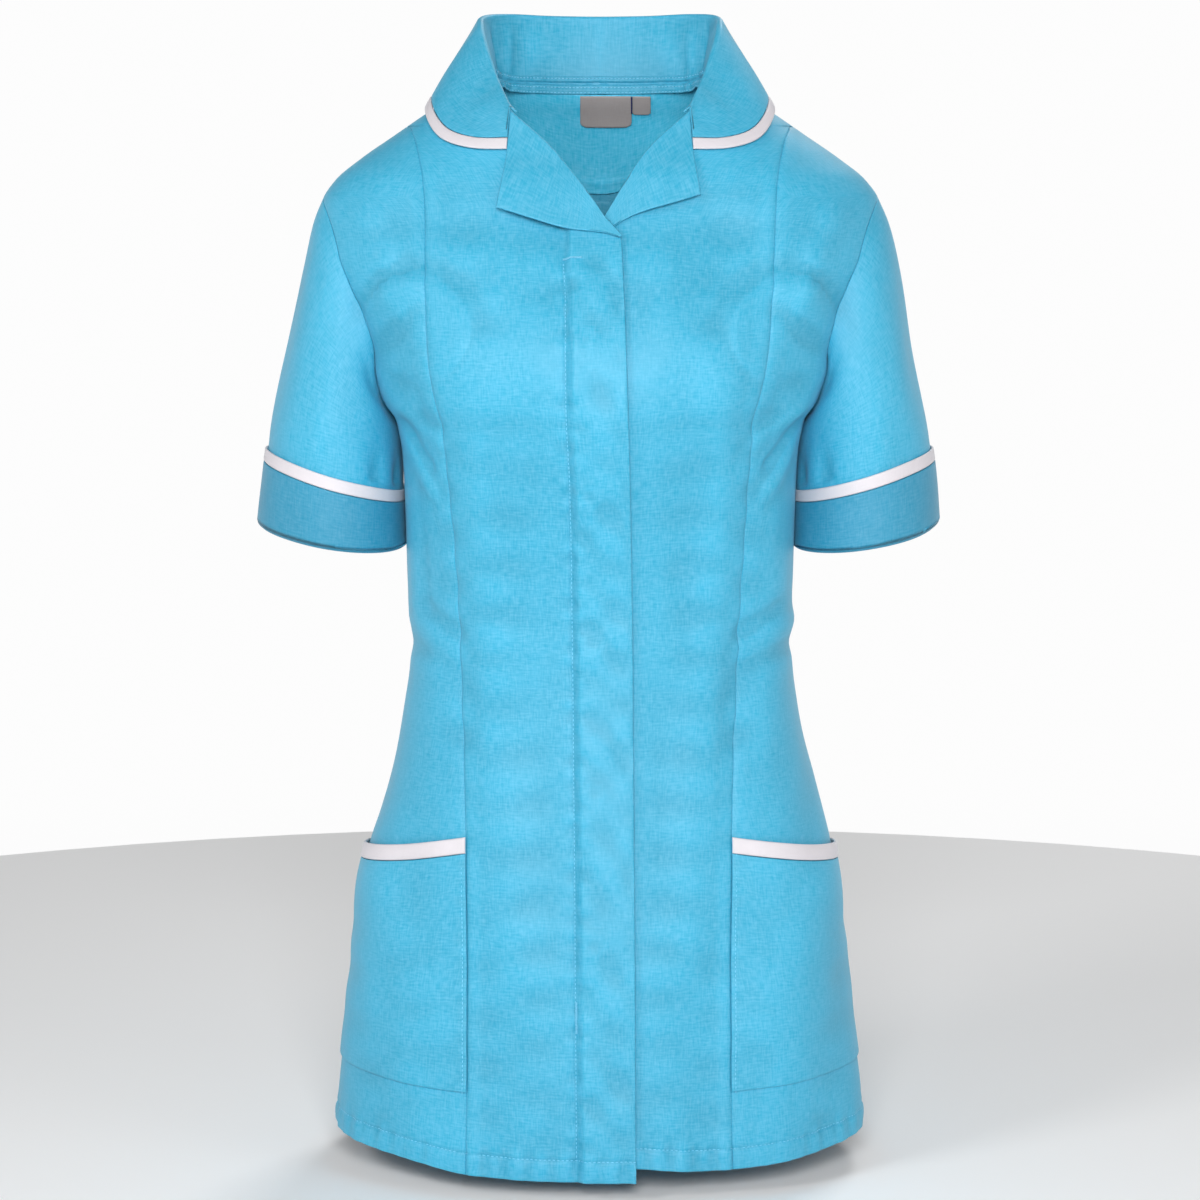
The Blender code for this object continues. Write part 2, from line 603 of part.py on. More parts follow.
def collar_section(s):
    """The collar's visible side at s, from -1 to 1 along the collar.  Gives the points
    up the stand and over the fold, and the points down the fall."""
    read = {name: float(key_curve(name)(np.array(s))) for name in CollarKey._fields}
    turn, sign = read["neck_turn"], (1 if s >= 0 else -1)
    if abs(s) < 1e-9:
        turn = 180.0
    base, height = neck_point(turn)
    normal = form_normal(turn, height)
    beside, _ = neck_point(turn - 1.0 if turn > 91 else turn + 1.0)
    out_of_edge = unit(np.cross(normal, beside - base))
    out_of_edge *= np.sign(out_of_edge[2])
    lean = float(fold_lean(s))
    base = base - normal * CLOTH * (1 - lean)
    base = base + out_of_edge * (SEAM_GAP * 1.5 + DOUBLE * 1.1 * lean)
    fold = np.array([read["fold_x"], read["fold_y"], read["fold_z"]])
    edge_height = read["edge_z"]
    at_front = abs(s) > 0.5
    edge_turn = float(turn_at_x(read["edge_x"], edge_height))
    edge_turn = edge_turn if at_front else 180 - edge_turn
    to_front = abs(s) ** 4 if at_front else 0.0
    lift = COLLAR_LIFT + (2 * LAY_GAP + DOUBLE - COLLAR_LIFT) * to_front
    edge = form(edge_turn, edge_height) + form_normal(edge_turn, edge_height) * lift
    level = unit((edge - base) * np.array([1.0, 1.0, 0.0]))
    out = unit(level * (1 - lean) - out_of_edge * lean)
    up = np.array([0.0, 0.0, 1.0]) * (1 - lean) + normal * lean
    up = unit(up - out * (up @ out))
    centre = fold - up * COLLAR_ROLL
    stand_top = centre - out * COLLAR_ROLL
    ease_in = -out * STAND_BULGE * (1 - lean)
    points = []
    for t in np.linspace(0, 1, STAND_ROWS + 1):
        points.append(base + (stand_top - base) * t + ease_in * math.sin(math.pi * t))
    for t in np.linspace(0, 1, ROLL_ROWS + 1)[1:-1]:
        angle = math.pi * (1 - t)
        points.append(centre + COLLAR_ROLL * (out * math.cos(angle) + up * math.sin(angle)))
    fall_top = centre + out * COLLAR_ROLL
    bulge = unit(out + up * 0.6) * COLLAR_BULGE * (1 - to_front)
    fall = []
    for t in np.linspace(0, 1, FALL_STEPS + 1):
        point = fall_top + (edge - fall_top) * t + bulge * math.sin(math.pi * t)
        fall.append(clear_of_chest(point) if at_front else point)
    flip = np.array([sign, 1.0, 1.0])
    return np.array(points) * flip, np.array(fall) * flip


def clear_of_chest(point):
    """The point, moved out where the collar would otherwise sink into the front."""
    x, _, height = point
    if height > NECKLINE[1][0] or x > 0.98 * HALF_WIDTH(height):
        return point
    turn = turn_at_x(x, height)
    normal = form_normal(turn, height)
    above = (point - form(turn, height)) @ normal
    return point + normal * max(0.0, 2 * LAY_GAP + DOUBLE - above)


def along_line(line, lengths):
    """Points at the given lengths along a line of points."""
    steps = np.linalg.norm(np.diff(line, axis=0), axis=1)
    places = np.concatenate([[0], np.cumsum(steps)])
    return np.stack([np.interp(lengths, places, line[:, i]) for i in range(3)], axis=-1)


def grid_inward(grid, towards):
    """Directions into the cloth for a grid of points, on the side where towards lies."""
    along = np.gradient(grid, axis=0)
    across = np.gradient(grid, axis=1)
    inward = unit(np.cross(across, along))
    return inward * np.sign((inward * towards).sum(axis=-1, keepdims=True).mean())


def make_collar(materials, collection):
    places = np.linspace(-1, 1, COLLAR_COLUMNS + 1)
    body, strip = [], []
    for s in places:
        upper, fall = collar_section(s)
        length = np.linalg.norm(np.diff(fall, axis=0), axis=1).sum()
        seam = length - PIPING_WIDTH
        body.append(np.concatenate([upper, along_line(fall, np.linspace(0, seam, FALL_ROWS + 1))]))
        strip.append(along_line(fall, np.array([seam + SEAM_GAP, (seam + length) / 2, length])))
    body = pull_in(np.swapaxes(body, 0, 1), SEAM_GAP / 2)
    strip = pull_in(np.swapaxes(strip, 0, 1), SEAM_GAP / 2)
    inward = grid_inward(body, underside(body))
    turned = fold_lean(places)[:, None]
    normals = np.array([stand_normal(s) for s in places])
    inward[0] = unit(normals * (1 - turned) + inward[1] * turned)
    wall("collar", body, inward, DOUBLE, materials["cloth"], collection)
    last = np.repeat(inward[-1][None], 3, axis=0)
    outwards = -last * (BINDING - DOUBLE)
    wall("collar_piping", strip + outwards, last, BINDING, materials["white"], collection)
    taped = np.abs(places) <= TAPE_END
    base, rise = body[0, taped], unit(body[1] - body[0])[taped]
    side = inward[1, taped]
    heights = np.linspace(0, TAPE_WIDTH, 3) - TAPE_BELOW
    rows = [base - side * (2 * SEAM_GAP + TAPE) + rise * h for h in heights]
    sides = np.repeat(side[None], len(rows), axis=0)
    wall("neck_tape", np.array(rows), sides, TAPE, materials["cloth"], collection)


def stand_normal(s):
    """The direction through the cloth where the collar meets the neck seam."""
    turn = float(key_curve("neck_turn")(np.array(s)))
    _, height = neck_point(turn)
    return form_normal(turn, height) * np.array([1.0 if s >= 0 else -1.0, 1.0, 1.0])


def underside(body):
    """Roughly where the collar's hidden side lies from each of its points."""
    middle = (body[0] + body[-1]) / 2
    return middle[None] - body


# ---------------------------------------------------------------- lapels
def along(points, count):
    """count + 1 points spread evenly along a smooth line through the given ones."""
    points = np.asarray(points, float)
    steps = np.concatenate([[0], np.cumsum(np.linalg.norm(np.diff(points, axis=0), axis=1))])
    places = np.linspace(0, steps[-1], count + 1)
    return np.stack([smooth_curve(steps, points[:, i])(places) for i in (0, 1)], axis=-1)


def make_lapel(lapel, mirror, material, collection):
    """A lapel: the front's facing turned out along the roll line, over the chest."""
    roll = along([(x, z) for z, x in lapel.roll], LAPEL_COLUMNS)
    lower = along(lapel.lower, LAPEL_COLUMNS)
    side = along(lapel.side, LAPEL_ROWS)
    p = np.linspace(0, 1, LAPEL_COLUMNS + 1)[None, :, None]
    q = np.linspace(0, 1, LAPEL_ROWS + 1)[:, None, None]
    flat_side = roll[0] * (1 - q) + lower[0] * q
    plan = roll[None] * (1 - q) + lower[None] * q + (side[:, None] - flat_side) * (1 - p)
    x, z = plan[..., 0], plan[..., 1]
    turns = turn_at_x(x, z)
    normals = form_normal(turns, z)
    free = ease((x - LAPEL_FLAT_X) / 0.030) * ease((LAPEL_FLAT_TOP - z) / 0.040)
    loft = lapel.loft * free * np.sin(math.pi / 2 * np.minimum(1, 1.6 * q[..., 0]))
    base = fly_lift_at(z) if lapel.lifted else 0.0
    points = form(turns, z) + normals * (base + 2 * LAY_GAP + DOUBLE + loft)[..., None]
    points = pull_in(points, 2 * SEAM_GAP, SEAM_GAP / 2)
    name = "lapel_" + side_name(mirror)
    wall(name, points, -normals, DOUBLE, material, collection, mirror=mirror)


# ---------------------------------------------------------------- pockets
def make_pocket(mirror, materials, collection):
    """A patch pocket between the princess seam and the side seam, and the white binding
    along its mouth.  Both are made from the panel's own points, moved out."""
    share = np.linspace(0, 1, SIDE_COLUMNS + 1)[None]
    mouth = MOUTH_AT_SEAM + (MOUTH_AT_SIDE - MOUTH_AT_SEAM) * share
    mouth = mouth - MOUTH_SAG * np.sin(math.pi * share)
    bottom = BOTTOM_AT_SEAM + (BOTTOM_AT_SIDE - BOTTOM_AT_SEAM) * share
    below = mouth - MOUTH_BINDING
    parts = (
        ("pocket_", bottom, below, POCKET_ROWS, CLOTH, "cloth"),
        ("pocket_binding_", below, mouth, 1, BINDING, "white"),
    )
    for name, low, high, rows, thickness, finish in parts:
        t = np.linspace(0, 1, rows + 1)[:, None]
        heights = low + (high - low) * t
        starts = turn_at_x(princess_x(heights), heights)
        turns = starts + (90.0 - starts) * share
        normals = form_normal(turns, heights)
        up = ease((heights - bottom) / (mouth - bottom)) ** 3
        gape = MOUTH_GAPE * up * np.sin(math.pi * share)
        points = form(turns, heights) + normals * (LAY_GAP + thickness + gape)[..., None]
        points = pull_in(pull_in(points, SEAM_GAP), SEAM_GAP / 2, ends="rows")
        name, surface = name + side_name(mirror), materials[finish]
        wall(name, points, -normals, thickness, surface, collection, mirror=mirror)


# ---------------------------------------------------------------- inside the neck
def back_points(x, z, depth):
    """Points and inward directions on the back, depth inside its outer face."""
    turns = 180 - turn_at_x(x, z)
    normals = form_normal(turns, z)
    return form(turns, z) - normals * depth[..., None], -normals


def make_back_facing(material, collection):
    x = np.linspace(-FACING_HALF_WIDTH, FACING_HALF_WIDTH, FACING_COLUMNS + 1)[None]
    top = -NECK_DIP * (1 - (x / NECKLINE[0][1]) ** 2) - FACING_BELOW
    bottom = -FACING_DEPTH + FACING_CURVE * x**2
    t = np.linspace(0, 1, FACING_ROWS + 1)[:, None]
    z = top + (bottom - top) * t
    x = np.repeat(x, FACING_ROWS + 1, axis=0)
    points, inward = back_points(x, z, np.full_like(z, CLOTH + 2 * LAY_GAP))
    wall("back_facing", points, inward, CLOTH, material, collection)


def make_label(label, material, collection):
    x, z = np.meshgrid(np.linspace(label.left, label.right, 5), np.linspace(label.top, label.bottom, 4))
    depth = np.full_like(z, 2 * CLOTH + LAY_GAP * 3.5)
    points, inward = back_points(x, z, depth)
    wall(label.name, points, inward, TAPE * 0.8, material, collection)


# ---------------------------------------------------------------- press studs
def make_stud(index, material, collection):
    """A closed press stud under the fly, on the front that laps under."""
    height = STUD_FIRST - index * STUD_PITCH
    turn = turn_at_x(STUD_FROM_STITCHING - fly_stitch_x(height), height)
    normal = Vector(form_normal(turn, height))
    disc = bmesh.new()
    radii = {"radius1": STUD_RADIUS, "radius2": 0.8 * STUD_RADIUS}
    bmesh.ops.create_cone(disc, cap_ends=True, segments=14, depth=STUD_THICKNESS, **radii)
    mesh = bpy.data.meshes.new("press_stud")
    disc.to_mesh(mesh)
    disc.free()
    mesh.materials.append(material)
    stud = bpy.data.objects.new(f"press_stud_{index + 1}", mesh)
    stud.location = Vector(form(turn, height)) + normal * (1.5 * LAY_GAP + STUD_THICKNESS / 2)
    stud.rotation_mode = "QUATERNION"
    stud.rotation_quaternion = normal.to_track_quat("Z", "Y")
    collection.objects.link(stud)


def main():
    for old in list(bpy.data.objects):
        bpy.data.objects.remove(old)
    tunic = collection_named("work_tunic")
    materials = {
        "cloth": material_named("sky_cloth", SKY_CLOTH),
        "cuff": material_named("cuff_cloth", CUFF_CLOTH),
        "white": material_named("white_binding", WHITE_CLOTH),
        "label": material_named("grey_label", GREY_LABEL),
        "stud": material_named("stud_metal", STUD_METAL),
    }
    for mirror, lapel in ((True, LAPEL_OVER), (False, LAPEL_UNDER)):
        make_front(lapel, mirror, materials["cloth"], tunic)
        make_lapel(lapel, mirror, materials["cloth"], tunic)
        make_side_front(lapel, mirror, materials["cloth"], tunic)
        make_back(mirror, materials["cloth"], tunic)
        make_sleeve(mirror, materials, tunic)
        make_pocket(mirror, materials, tunic)
    make_collar(materials, tunic)
    make_back_facing(materials["cloth"], tunic)
    for label in LABELS:
        make_label(label, materials["label"], tunic)
    for index in range(STUD_COUNT):
        make_stud(index, materials["stud"], tunic)


main()
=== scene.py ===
import math
from collections import namedtuple

import bpy
import numpy as np
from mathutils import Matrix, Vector


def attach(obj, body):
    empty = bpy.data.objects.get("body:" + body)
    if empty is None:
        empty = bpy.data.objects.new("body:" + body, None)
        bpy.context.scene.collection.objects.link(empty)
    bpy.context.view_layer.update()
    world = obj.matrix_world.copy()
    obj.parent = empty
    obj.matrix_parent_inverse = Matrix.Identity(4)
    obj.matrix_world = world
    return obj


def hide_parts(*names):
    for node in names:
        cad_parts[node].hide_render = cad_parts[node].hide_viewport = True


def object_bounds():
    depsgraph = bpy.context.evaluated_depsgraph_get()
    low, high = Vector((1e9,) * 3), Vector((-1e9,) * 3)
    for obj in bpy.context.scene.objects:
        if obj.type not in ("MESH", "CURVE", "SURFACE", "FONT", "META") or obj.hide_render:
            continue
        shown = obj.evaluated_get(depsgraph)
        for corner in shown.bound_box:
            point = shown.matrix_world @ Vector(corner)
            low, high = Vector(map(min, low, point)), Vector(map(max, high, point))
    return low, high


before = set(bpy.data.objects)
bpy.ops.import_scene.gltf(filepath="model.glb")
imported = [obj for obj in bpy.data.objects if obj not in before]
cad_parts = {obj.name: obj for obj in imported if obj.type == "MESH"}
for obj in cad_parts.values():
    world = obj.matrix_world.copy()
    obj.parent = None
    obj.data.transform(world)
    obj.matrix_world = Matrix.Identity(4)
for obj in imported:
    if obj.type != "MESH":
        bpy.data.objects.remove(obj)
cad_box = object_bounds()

# ------------------------------------------------------------------ the two fronts
# Sky-blue poly-cotton twill, cut as two centre fronts.  The wearer's right one laps over
# the other, its edge folded back and stitched down as a fly that hides the press studs.
# The right one is worked out on the wearer's left and mirrored.
CLOTH, DOUBLE, BINDING, TAPE = 0.0012, 0.0016, 0.0018, 0.0010
HEM_CLOTH, FLY_CLOTH = 0.0019, 0.0019  # where the cloth is turned back on itself
SEAM_GAP, LAY_GAP, STEP = 0.0004, 0.0004, 0.0004
SEAM_MEET = -0.00012  # sewn edges run into each other by this much each
Section = namedtuple("Section", "height half_width front back side_y squareness")
SECTIONS = [
    Section(*row)
    for row in (
        (0.004, 0.062, 0.036, 0.049, 0.006, 2.0),
        (0.0, 0.072, 0.041, 0.052, 0.006, 2.0),
        (-0.012, 0.097, 0.047, 0.0575, 0.006, 2.0),
        (-0.025, 0.118, 0.055, 0.066, 0.006, 2.0),
        (-0.04, 0.14, 0.061, 0.074, 0.005, 2.0),
        (-0.055, 0.162, 0.0675, 0.0805, 0.004, 2.05),
        (-0.07, 0.18, 0.0745, 0.086, 0.003, 2.1),
        (-0.085, 0.189, 0.081, 0.0905, 0.003, 2.15),
        (-0.105, 0.191, 0.09, 0.0955, 0.003, 2.2),
        (-0.12, 0.189, 0.098, 0.0985, 0.003, 2.25),
        (-0.14, 0.179, 0.108, 0.1015, 0.003, 2.3),
        (-0.16, 0.1665, 0.118, 0.103, 0.003, 2.35),
        (-0.18, 0.158, 0.1255, 0.1035, 0.003, 2.4),
        (-0.2, 0.1535, 0.1285, 0.103, 0.003, 2.45),
        (-0.218, 0.147, 0.128, 0.102, 0.003, 2.45),
        (-0.232, 0.138, 0.1255, 0.1005, 0.003, 2.45),
        (-0.255, 0.1338, 0.1205, 0.098, 0.002, 2.42),
        (-0.29, 0.1323, 0.1115, 0.0935, 0.002, 2.4),
        (-0.33, 0.1312, 0.103, 0.0885, 0.001, 2.36),
        (-0.37, 0.1305, 0.098, 0.0855, 0.001, 2.32),
        (-0.4, 0.1315, 0.0975, 0.087, 0.001, 2.3),
        (-0.427, 0.135, 0.099, 0.0915, 0.0, 2.28),
        (-0.455, 0.1405, 0.102, 0.0985, 0.0, 2.26),
        (-0.483, 0.148, 0.1055, 0.106, 0.0, 2.25),
        (-0.511, 0.1565, 0.109, 0.1125, 0.0, 2.25),
        (-0.54, 0.163, 0.1125, 0.1165, 0.0, 2.25),
        (-0.582, 0.1706, 0.1165, 0.1195, 0.0, 2.25),
        (-0.625, 0.1755, 0.1195, 0.1215, 0.0, 2.25),
        (-0.682, 0.1808, 0.1235, 0.1235, 0.0, 2.25),
        (-0.745, 0.1855, 0.1275, 0.1255, 0.0, 2.25),
    )
]
BUST_X, BUST_HEIGHT = 0.072, -0.190
BUST_RISE, BUST_SPREAD_X, BUST_SPREAD_Z = 0.004, 0.040, 0.050
FULL_X, FULL_HEIGHT, FULL_RADIUS = 0.120, -0.168, 0.037
FULL_RISE, FULL_EDGE, FULL_DIP = 0.0020, 0.007, 0.0009
PRINCESS_SEAM = (
    (-0.0336, 0.1285), (-0.045, 0.1235), (-0.078, 0.117), (-0.125, 0.115), (-0.183, 0.1125),
    (-0.215, 0.1075), (-0.235, 0.103), (-0.277, 0.1005), (-0.349, 0.0973), (-0.4085, 0.095),
    (-0.505, 0.089), (-0.673, 0.0887), (-0.745, 0.0897),
)
FLY_STITCHING = (
    (-0.122, 0.0241), (-0.150, 0.0225), (-0.215, 0.0221), (-0.270, 0.0197), (-0.360, 0.0184),
    (-0.430, 0.0176), (-0.600, 0.0163), (-0.745, 0.0155),
)
FLY_EDGE = ((-0.109, 0.0142), (-0.180, 0.0172), (-0.360, 0.0213), (-0.510, 0.0226), (-0.745, 0.024))
FLY_LIFT, FLY_LIFT_TOP, FLY_LIFT_FULL, FLY_SLOPE, UNDERLAP = 0.0040, -0.055, -0.090, 0.006, 0.034
NECKLINE = ((0.000, 0.072), (-0.005, 0.0712), (-0.012, 0.0682), (-0.020, 0.0628), (-0.0285, 0.0545))
ROLL_OVER = (
    (-0.024, 0.059), (-0.049, 0.0314), (-0.0793, 0.0073), (-0.1016, -0.008), (-0.109, -0.0142),
)
ROLL_UNDER = (
    (-0.024, 0.059), (-0.0504, 0.0307), (-0.0735, 0.0149), (-0.0936, 0.0027), (-0.114, -0.0105),
)
SEAM_TOP, HEM_HEIGHT, HEM_START, HEM_DEPTH = -0.0336, -0.730, -0.600, 0.0145
HEM_OVER = ((-0.024, -0.734), (0.040, -0.7335), (0.088, -0.7315), (0.127, -0.7265), (0.186, -0.7205))
HEM_UNDER = ((-0.012, -0.7235), (0.025, -0.7247), (0.072, -0.7285), (0.136, -0.7265), (0.186, -0.7205))
# Soft creases of the hanging cloth, on the wearer's left and mirrored: from one point to
# another, each given by its distance from the centre line and its height.
Crease = namedtuple("Crease", "x z to_x to_z width rise")
FRONT_CREASES = [
    Crease(*row)
    for row in (
        (0.14, -0.176, 0.125, -0.16, 0.0075, -0.0018),
        (0.133, -0.231, 0.115, -0.256, 0.0038, -0.0034),
        (0.133, -0.24, 0.113, -0.274, 0.0042, 0.0024),
        (0.133, -0.222, 0.108, -0.24, 0.0045, 0.0022),
        (0.129, -0.205, 0.106, -0.236, 0.01, -0.0018),
        (0.102, -0.285, 0.096, -0.44, 0.012, -0.0026),
        (0.084, -0.235, 0.074, -0.37, 0.014, 0.0017),
        (0.048, -0.215, 0.062, -0.35, 0.019, -0.0015),
        (0.132, -0.35, 0.102, -0.368, 0.006, -0.002),
        (0.132, -0.366, 0.108, -0.378, 0.006, 0.0014),
        (0.133, -0.384, 0.105, -0.392, 0.007, -0.0017),
        (0.07, -0.395, 0.056, -0.56, 0.02, 0.002),
        (0.09, -0.4, 0.087, -0.5, 0.01, -0.0016),
        (0.044, -0.45, 0.04, -0.6, 0.016, -0.0013),
        (0.148, -0.545, 0.112, -0.625, 0.017, 0.002),
        (0.172, -0.59, 0.156, -0.7, 0.014, -0.002),
        (0.128, -0.64, 0.122, -0.72, 0.015, 0.0016),
        (0.078, -0.59, 0.072, -0.72, 0.014, -0.0018),
        (0.038, -0.6, 0.045, -0.725, 0.016, 0.0016),
        (0.15, -0.1, 0.132, -0.15, 0.011, 0.0018),
        (0.09, -0.09, 0.07, -0.17, 0.017, -0.0013),
        (0.036, -0.125, 0.042, -0.21, 0.015, 0.0012),
    )
]
BACK_CREASES = [
    Crease(*row)
    for row in (
        (0.13, -0.215, 0.085, -0.27, 0.01, -0.0032),
        (0.118, -0.245, 0.07, -0.305, 0.011, 0.0024),
        (0.128, -0.3, 0.09, -0.335, 0.009, -0.002),
        (0.133, -0.345, 0.07, -0.362, 0.007, -0.0026),
        (0.133, -0.364, 0.05, -0.376, 0.007, 0.0018),
        (0.132, -0.388, 0.06, -0.392, 0.008, -0.0022),
        (0.05, -0.42, 0.08, -0.61, 0.018, -0.0026),
        (0.02, -0.4, 0.034, -0.56, 0.014, 0.0016),
        (0.11, -0.45, 0.138, -0.7, 0.017, 0.0026),
        (0.025, -0.1, 0.1, -0.13, 0.017, -0.0016),
        (0.06, -0.14, 0.09, -0.22, 0.018, 0.0018),
        (0.03, -0.56, 0.026, -0.72, 0.015, 0.002),
        (0.09, -0.62, 0.086, -0.725, 0.014, -0.0018),
    )
]
ROW_PITCH, DRAPE_SEED = 0.0032, 5


def smooth_curve(places, values):
    """A curve through the given points that never overshoots them."""
    order = np.argsort(places)
    xs = np.asarray(places, float)[order]
    ys = np.asarray(values, float)[order]
    steps = np.diff(xs)
    slopes = np.diff(ys) / steps
    bends = np.concatenate([slopes[:1], np.zeros(len(xs) - 2), slopes[-1:]])
    for i in range(1, len(xs) - 1):
        if slopes[i - 1] * slopes[i] > 0:
            first = 2 * steps[i] + steps[i - 1]
            second = steps[i] + 2 * steps[i - 1]
            bends[i] = (first + second) / (first / slopes[i - 1] + second / slopes[i])

    def at(x):
        x = np.clip(x, xs[0], xs[-1])
        i = np.clip(np.searchsorted(xs, x, side="right") - 1, 0, len(steps) - 1)
        h = steps[i]
        t = (x - xs[i]) / h
        rest = 1 - t
        ends = ys[i] * rest * rest * (1 + 2 * t) + ys[i + 1] * t * t * (3 - 2 * t)
        return ends + h * t * rest * (bends[i] * rest - bends[i + 1] * t)

    return at


def line_through(points):
    """A smooth curve through pairs, read by the first number of each."""
    return smooth_curve([p[0] for p in points], [p[1] for p in points])


HEIGHTS = [s.height for s in SECTIONS]
HALF_WIDTH, FRONT, BACK, SIDE_Y, SQUARENESS = (
    smooth_curve(HEIGHTS, [getattr(s, name) for s in SECTIONS]) for name in Section._fields[1:]
)
princess_x = line_through(PRINCESS_SEAM)
fly_edge_x = line_through(FLY_EDGE)
fly_stitch_x = line_through(FLY_STITCHING)
neckline_x = line_through(NECKLINE)


def ease(t):
    """0 below 0, 1 above 1, and smooth between."""
    t = np.clip(t, 0.0, 1.0)
    return t * t * (3 - 2 * t)


def bell(distance, width):
    """1 in the middle and fading smoothly to both sides."""
    return np.exp(-((distance / width) ** 2))


def unit(vectors):
    return vectors / np.linalg.norm(vectors, axis=-1, keepdims=True)


def true_side(points, mirror):
    """Points worked out on the wearer's left, put on the side where they belong."""
    return points * np.array([-1.0 if mirror else 1.0, 1.0, 1.0])


def fullness(x, z):
    """How far the front stands out beyond the plain sections."""
    x = np.abs(x)
    bust = bell(x - BUST_X, BUST_SPREAD_X) * bell(z - BUST_HEIGHT, BUST_SPREAD_Z)
    away = np.hypot(x - FULL_X, z - FULL_HEIGHT) - FULL_RADIUS
    above = ease((z - FULL_HEIGHT + 0.012) / 0.024)
    dip = FULL_DIP * bell(away - 0.007, 0.006) * above
    return BUST_RISE * bust + FULL_RISE * ease(-away / FULL_EDGE) - dip


def form(turn, height):
    """The outer face of the worn tunic.  turn is 0 at the centre front, 90 degrees at the
    wearer's left side or shoulder line, and 180 at the centre back."""
    turn, height = np.broadcast_arrays(np.asarray(turn, float), np.asarray(height, float))
    side, ahead = np.sin(np.radians(turn)), np.cos(np.radians(turn))
    power = 2 / SQUARENESS(height)
    x = HALF_WIDTH(height) * np.sign(side) * np.abs(side) ** power
    reach = np.abs(ahead) ** power
    side_y = SIDE_Y(height)
    front_y = side_y - (FRONT(height) + side_y) * reach - fullness(x, height) * ease(2 * ahead)
    back_y = side_y + (BACK(height) - side_y) * reach
    return np.stack([x, np.where(ahead >= 0, front_y, back_y), height], axis=-1)


def form_normal(turn, height):
    """The direction straight out of the cloth."""
    around = form(turn + 0.2, height) - form(turn - 0.2, height)
    up = form(turn, height + STEP) - form(turn, height - STEP)
    return unit(np.cross(around, up))


def turn_at_x(x, height):
    """The turn on the front where the form is x from the centre line."""
    share = np.clip(np.abs(x) / HALF_WIDTH(height), 0, 1)
    return np.sign(x) * np.degrees(np.arcsin(share ** (SQUARENESS(height) / 2)))


def drape(points):
    """The slow unevenness of cloth that hangs from the shoulders."""
    dice = np.random.default_rng(DRAPE_SEED)
    total = np.zeros(points.shape[:-1])
    for wavelength, height in ((0.150, 0.0014), (0.085, 0.0009), (0.045, 0.00022)):
        for _ in range(5):
            heading = dice.normal(size=3) * np.array([1.0, 1.0, 0.30])
            heading = heading / np.linalg.norm(heading)
            phase = dice.uniform(0, 2 * math.pi)
            total += height * 0.5 * np.sin(points @ heading * 2 * math.pi / wavelength + phase)
    return total


def creased(points, creases):
    """The rise of soft creases, by distance from each one's line as seen from the front."""
    x, z = np.abs(points[..., 0]), points[..., 2]
    total = np.zeros(x.shape)
    for c in creases:
        length = math.hypot(c.to_x - c.x, c.to_z - c.z)
        along = ((x - c.x) * (c.to_x - c.x) + (z - c.z) * (c.to_z - c.z)) / length
        past = along - np.clip(along, 0, length)
        aside = ((x - c.x) * (c.to_z - c.z) - (z - c.z) * (c.to_x - c.x)) / length
        uneven = 1 + 0.25 * np.sin(along * 190 + c.x * 900) + 0.2 * np.sign(points[..., 0])
        total += c.rise * uneven * bell(aside, c.width) * bell(past, 2 * c.width)
    return total


def fullness_edge(points):
    """The puckered arc where the fullness beside the armhole starts."""
    x, z = np.abs(points[..., 0]), points[..., 2]
    away = np.hypot(x - FULL_X, z - FULL_HEIGHT) - FULL_RADIUS
    angle = np.arctan2(z - FULL_HEIGHT, x - FULL_X)
    shown = bell(angle - 1.05, 0.62)
    uneven = 1 + 0.3 * np.sin(angle * 9 + points[..., 0] * 40)
    arc = 0.0022 * ease(-away / 0.003) * ease((away + 0.022) / 0.016)
    return shown * uneven * (arc - 0.0014 * bell(away - 0.004, 0.003))


def folds(points, mirror):
    """How far the cloth stands off the plain form."""
    true = true_side(points, mirror)
    z = points[..., 2]
    behind = ease((points[..., 1] - SIDE_Y(z)) / 0.05 + 0.5)
    total = drape(true) + creased(true, FRONT_CREASES) * (1 - behind)
    total += creased(true, BACK_CREASES) * behind
    total += fullness_edge(true) * (1 - behind)
    beside = ease((np.abs(points[..., 0]) / HALF_WIDTH(z) - 0.90) / 0.08)
    beside = beside * ease((-0.195 - z) / 0.02) * ease((z + 0.375) / 0.02)
    total = total * (1 - 0.9 * beside) + 0.0015 * beside
    return total * ease((-0.045 - z) / 0.060)


def worn(turn, height, out=0.0, mirror=False):
    """Points of the worn cloth, out from its outer face, and the directions out of it."""
    base = form(turn, height)
    normal = form_normal(turn, height)
    rise = folds(base, mirror) + out
    return base + normal * rise[..., None], normal


def pull_in(grid, first, last=None, ends="columns"):
    """Moves a grid's first and last lines of points inwards, to leave a seam gap."""
    last = first if last is None else last
    grid = grid.copy() if ends == "columns" else np.swapaxes(grid, 0, 1).copy()
    grid[:, 0] += first * unit(grid[:, 1] - grid[:, 0])
    grid[:, -1] += last * unit(grid[:, -2] - grid[:, -1])
    return grid if ends == "columns" else np.swapaxes(grid, 0, 1)


def run_lengths(grid, axis):
    """Length along the cloth from the first line of points, down one axis of a grid."""
    steps = np.linalg.norm(np.diff(grid, axis=axis), axis=-1)
    start = np.zeros_like(np.take(steps, [0], axis=axis))
    return np.concatenate([start, np.cumsum(steps, axis=axis)], axis=axis)


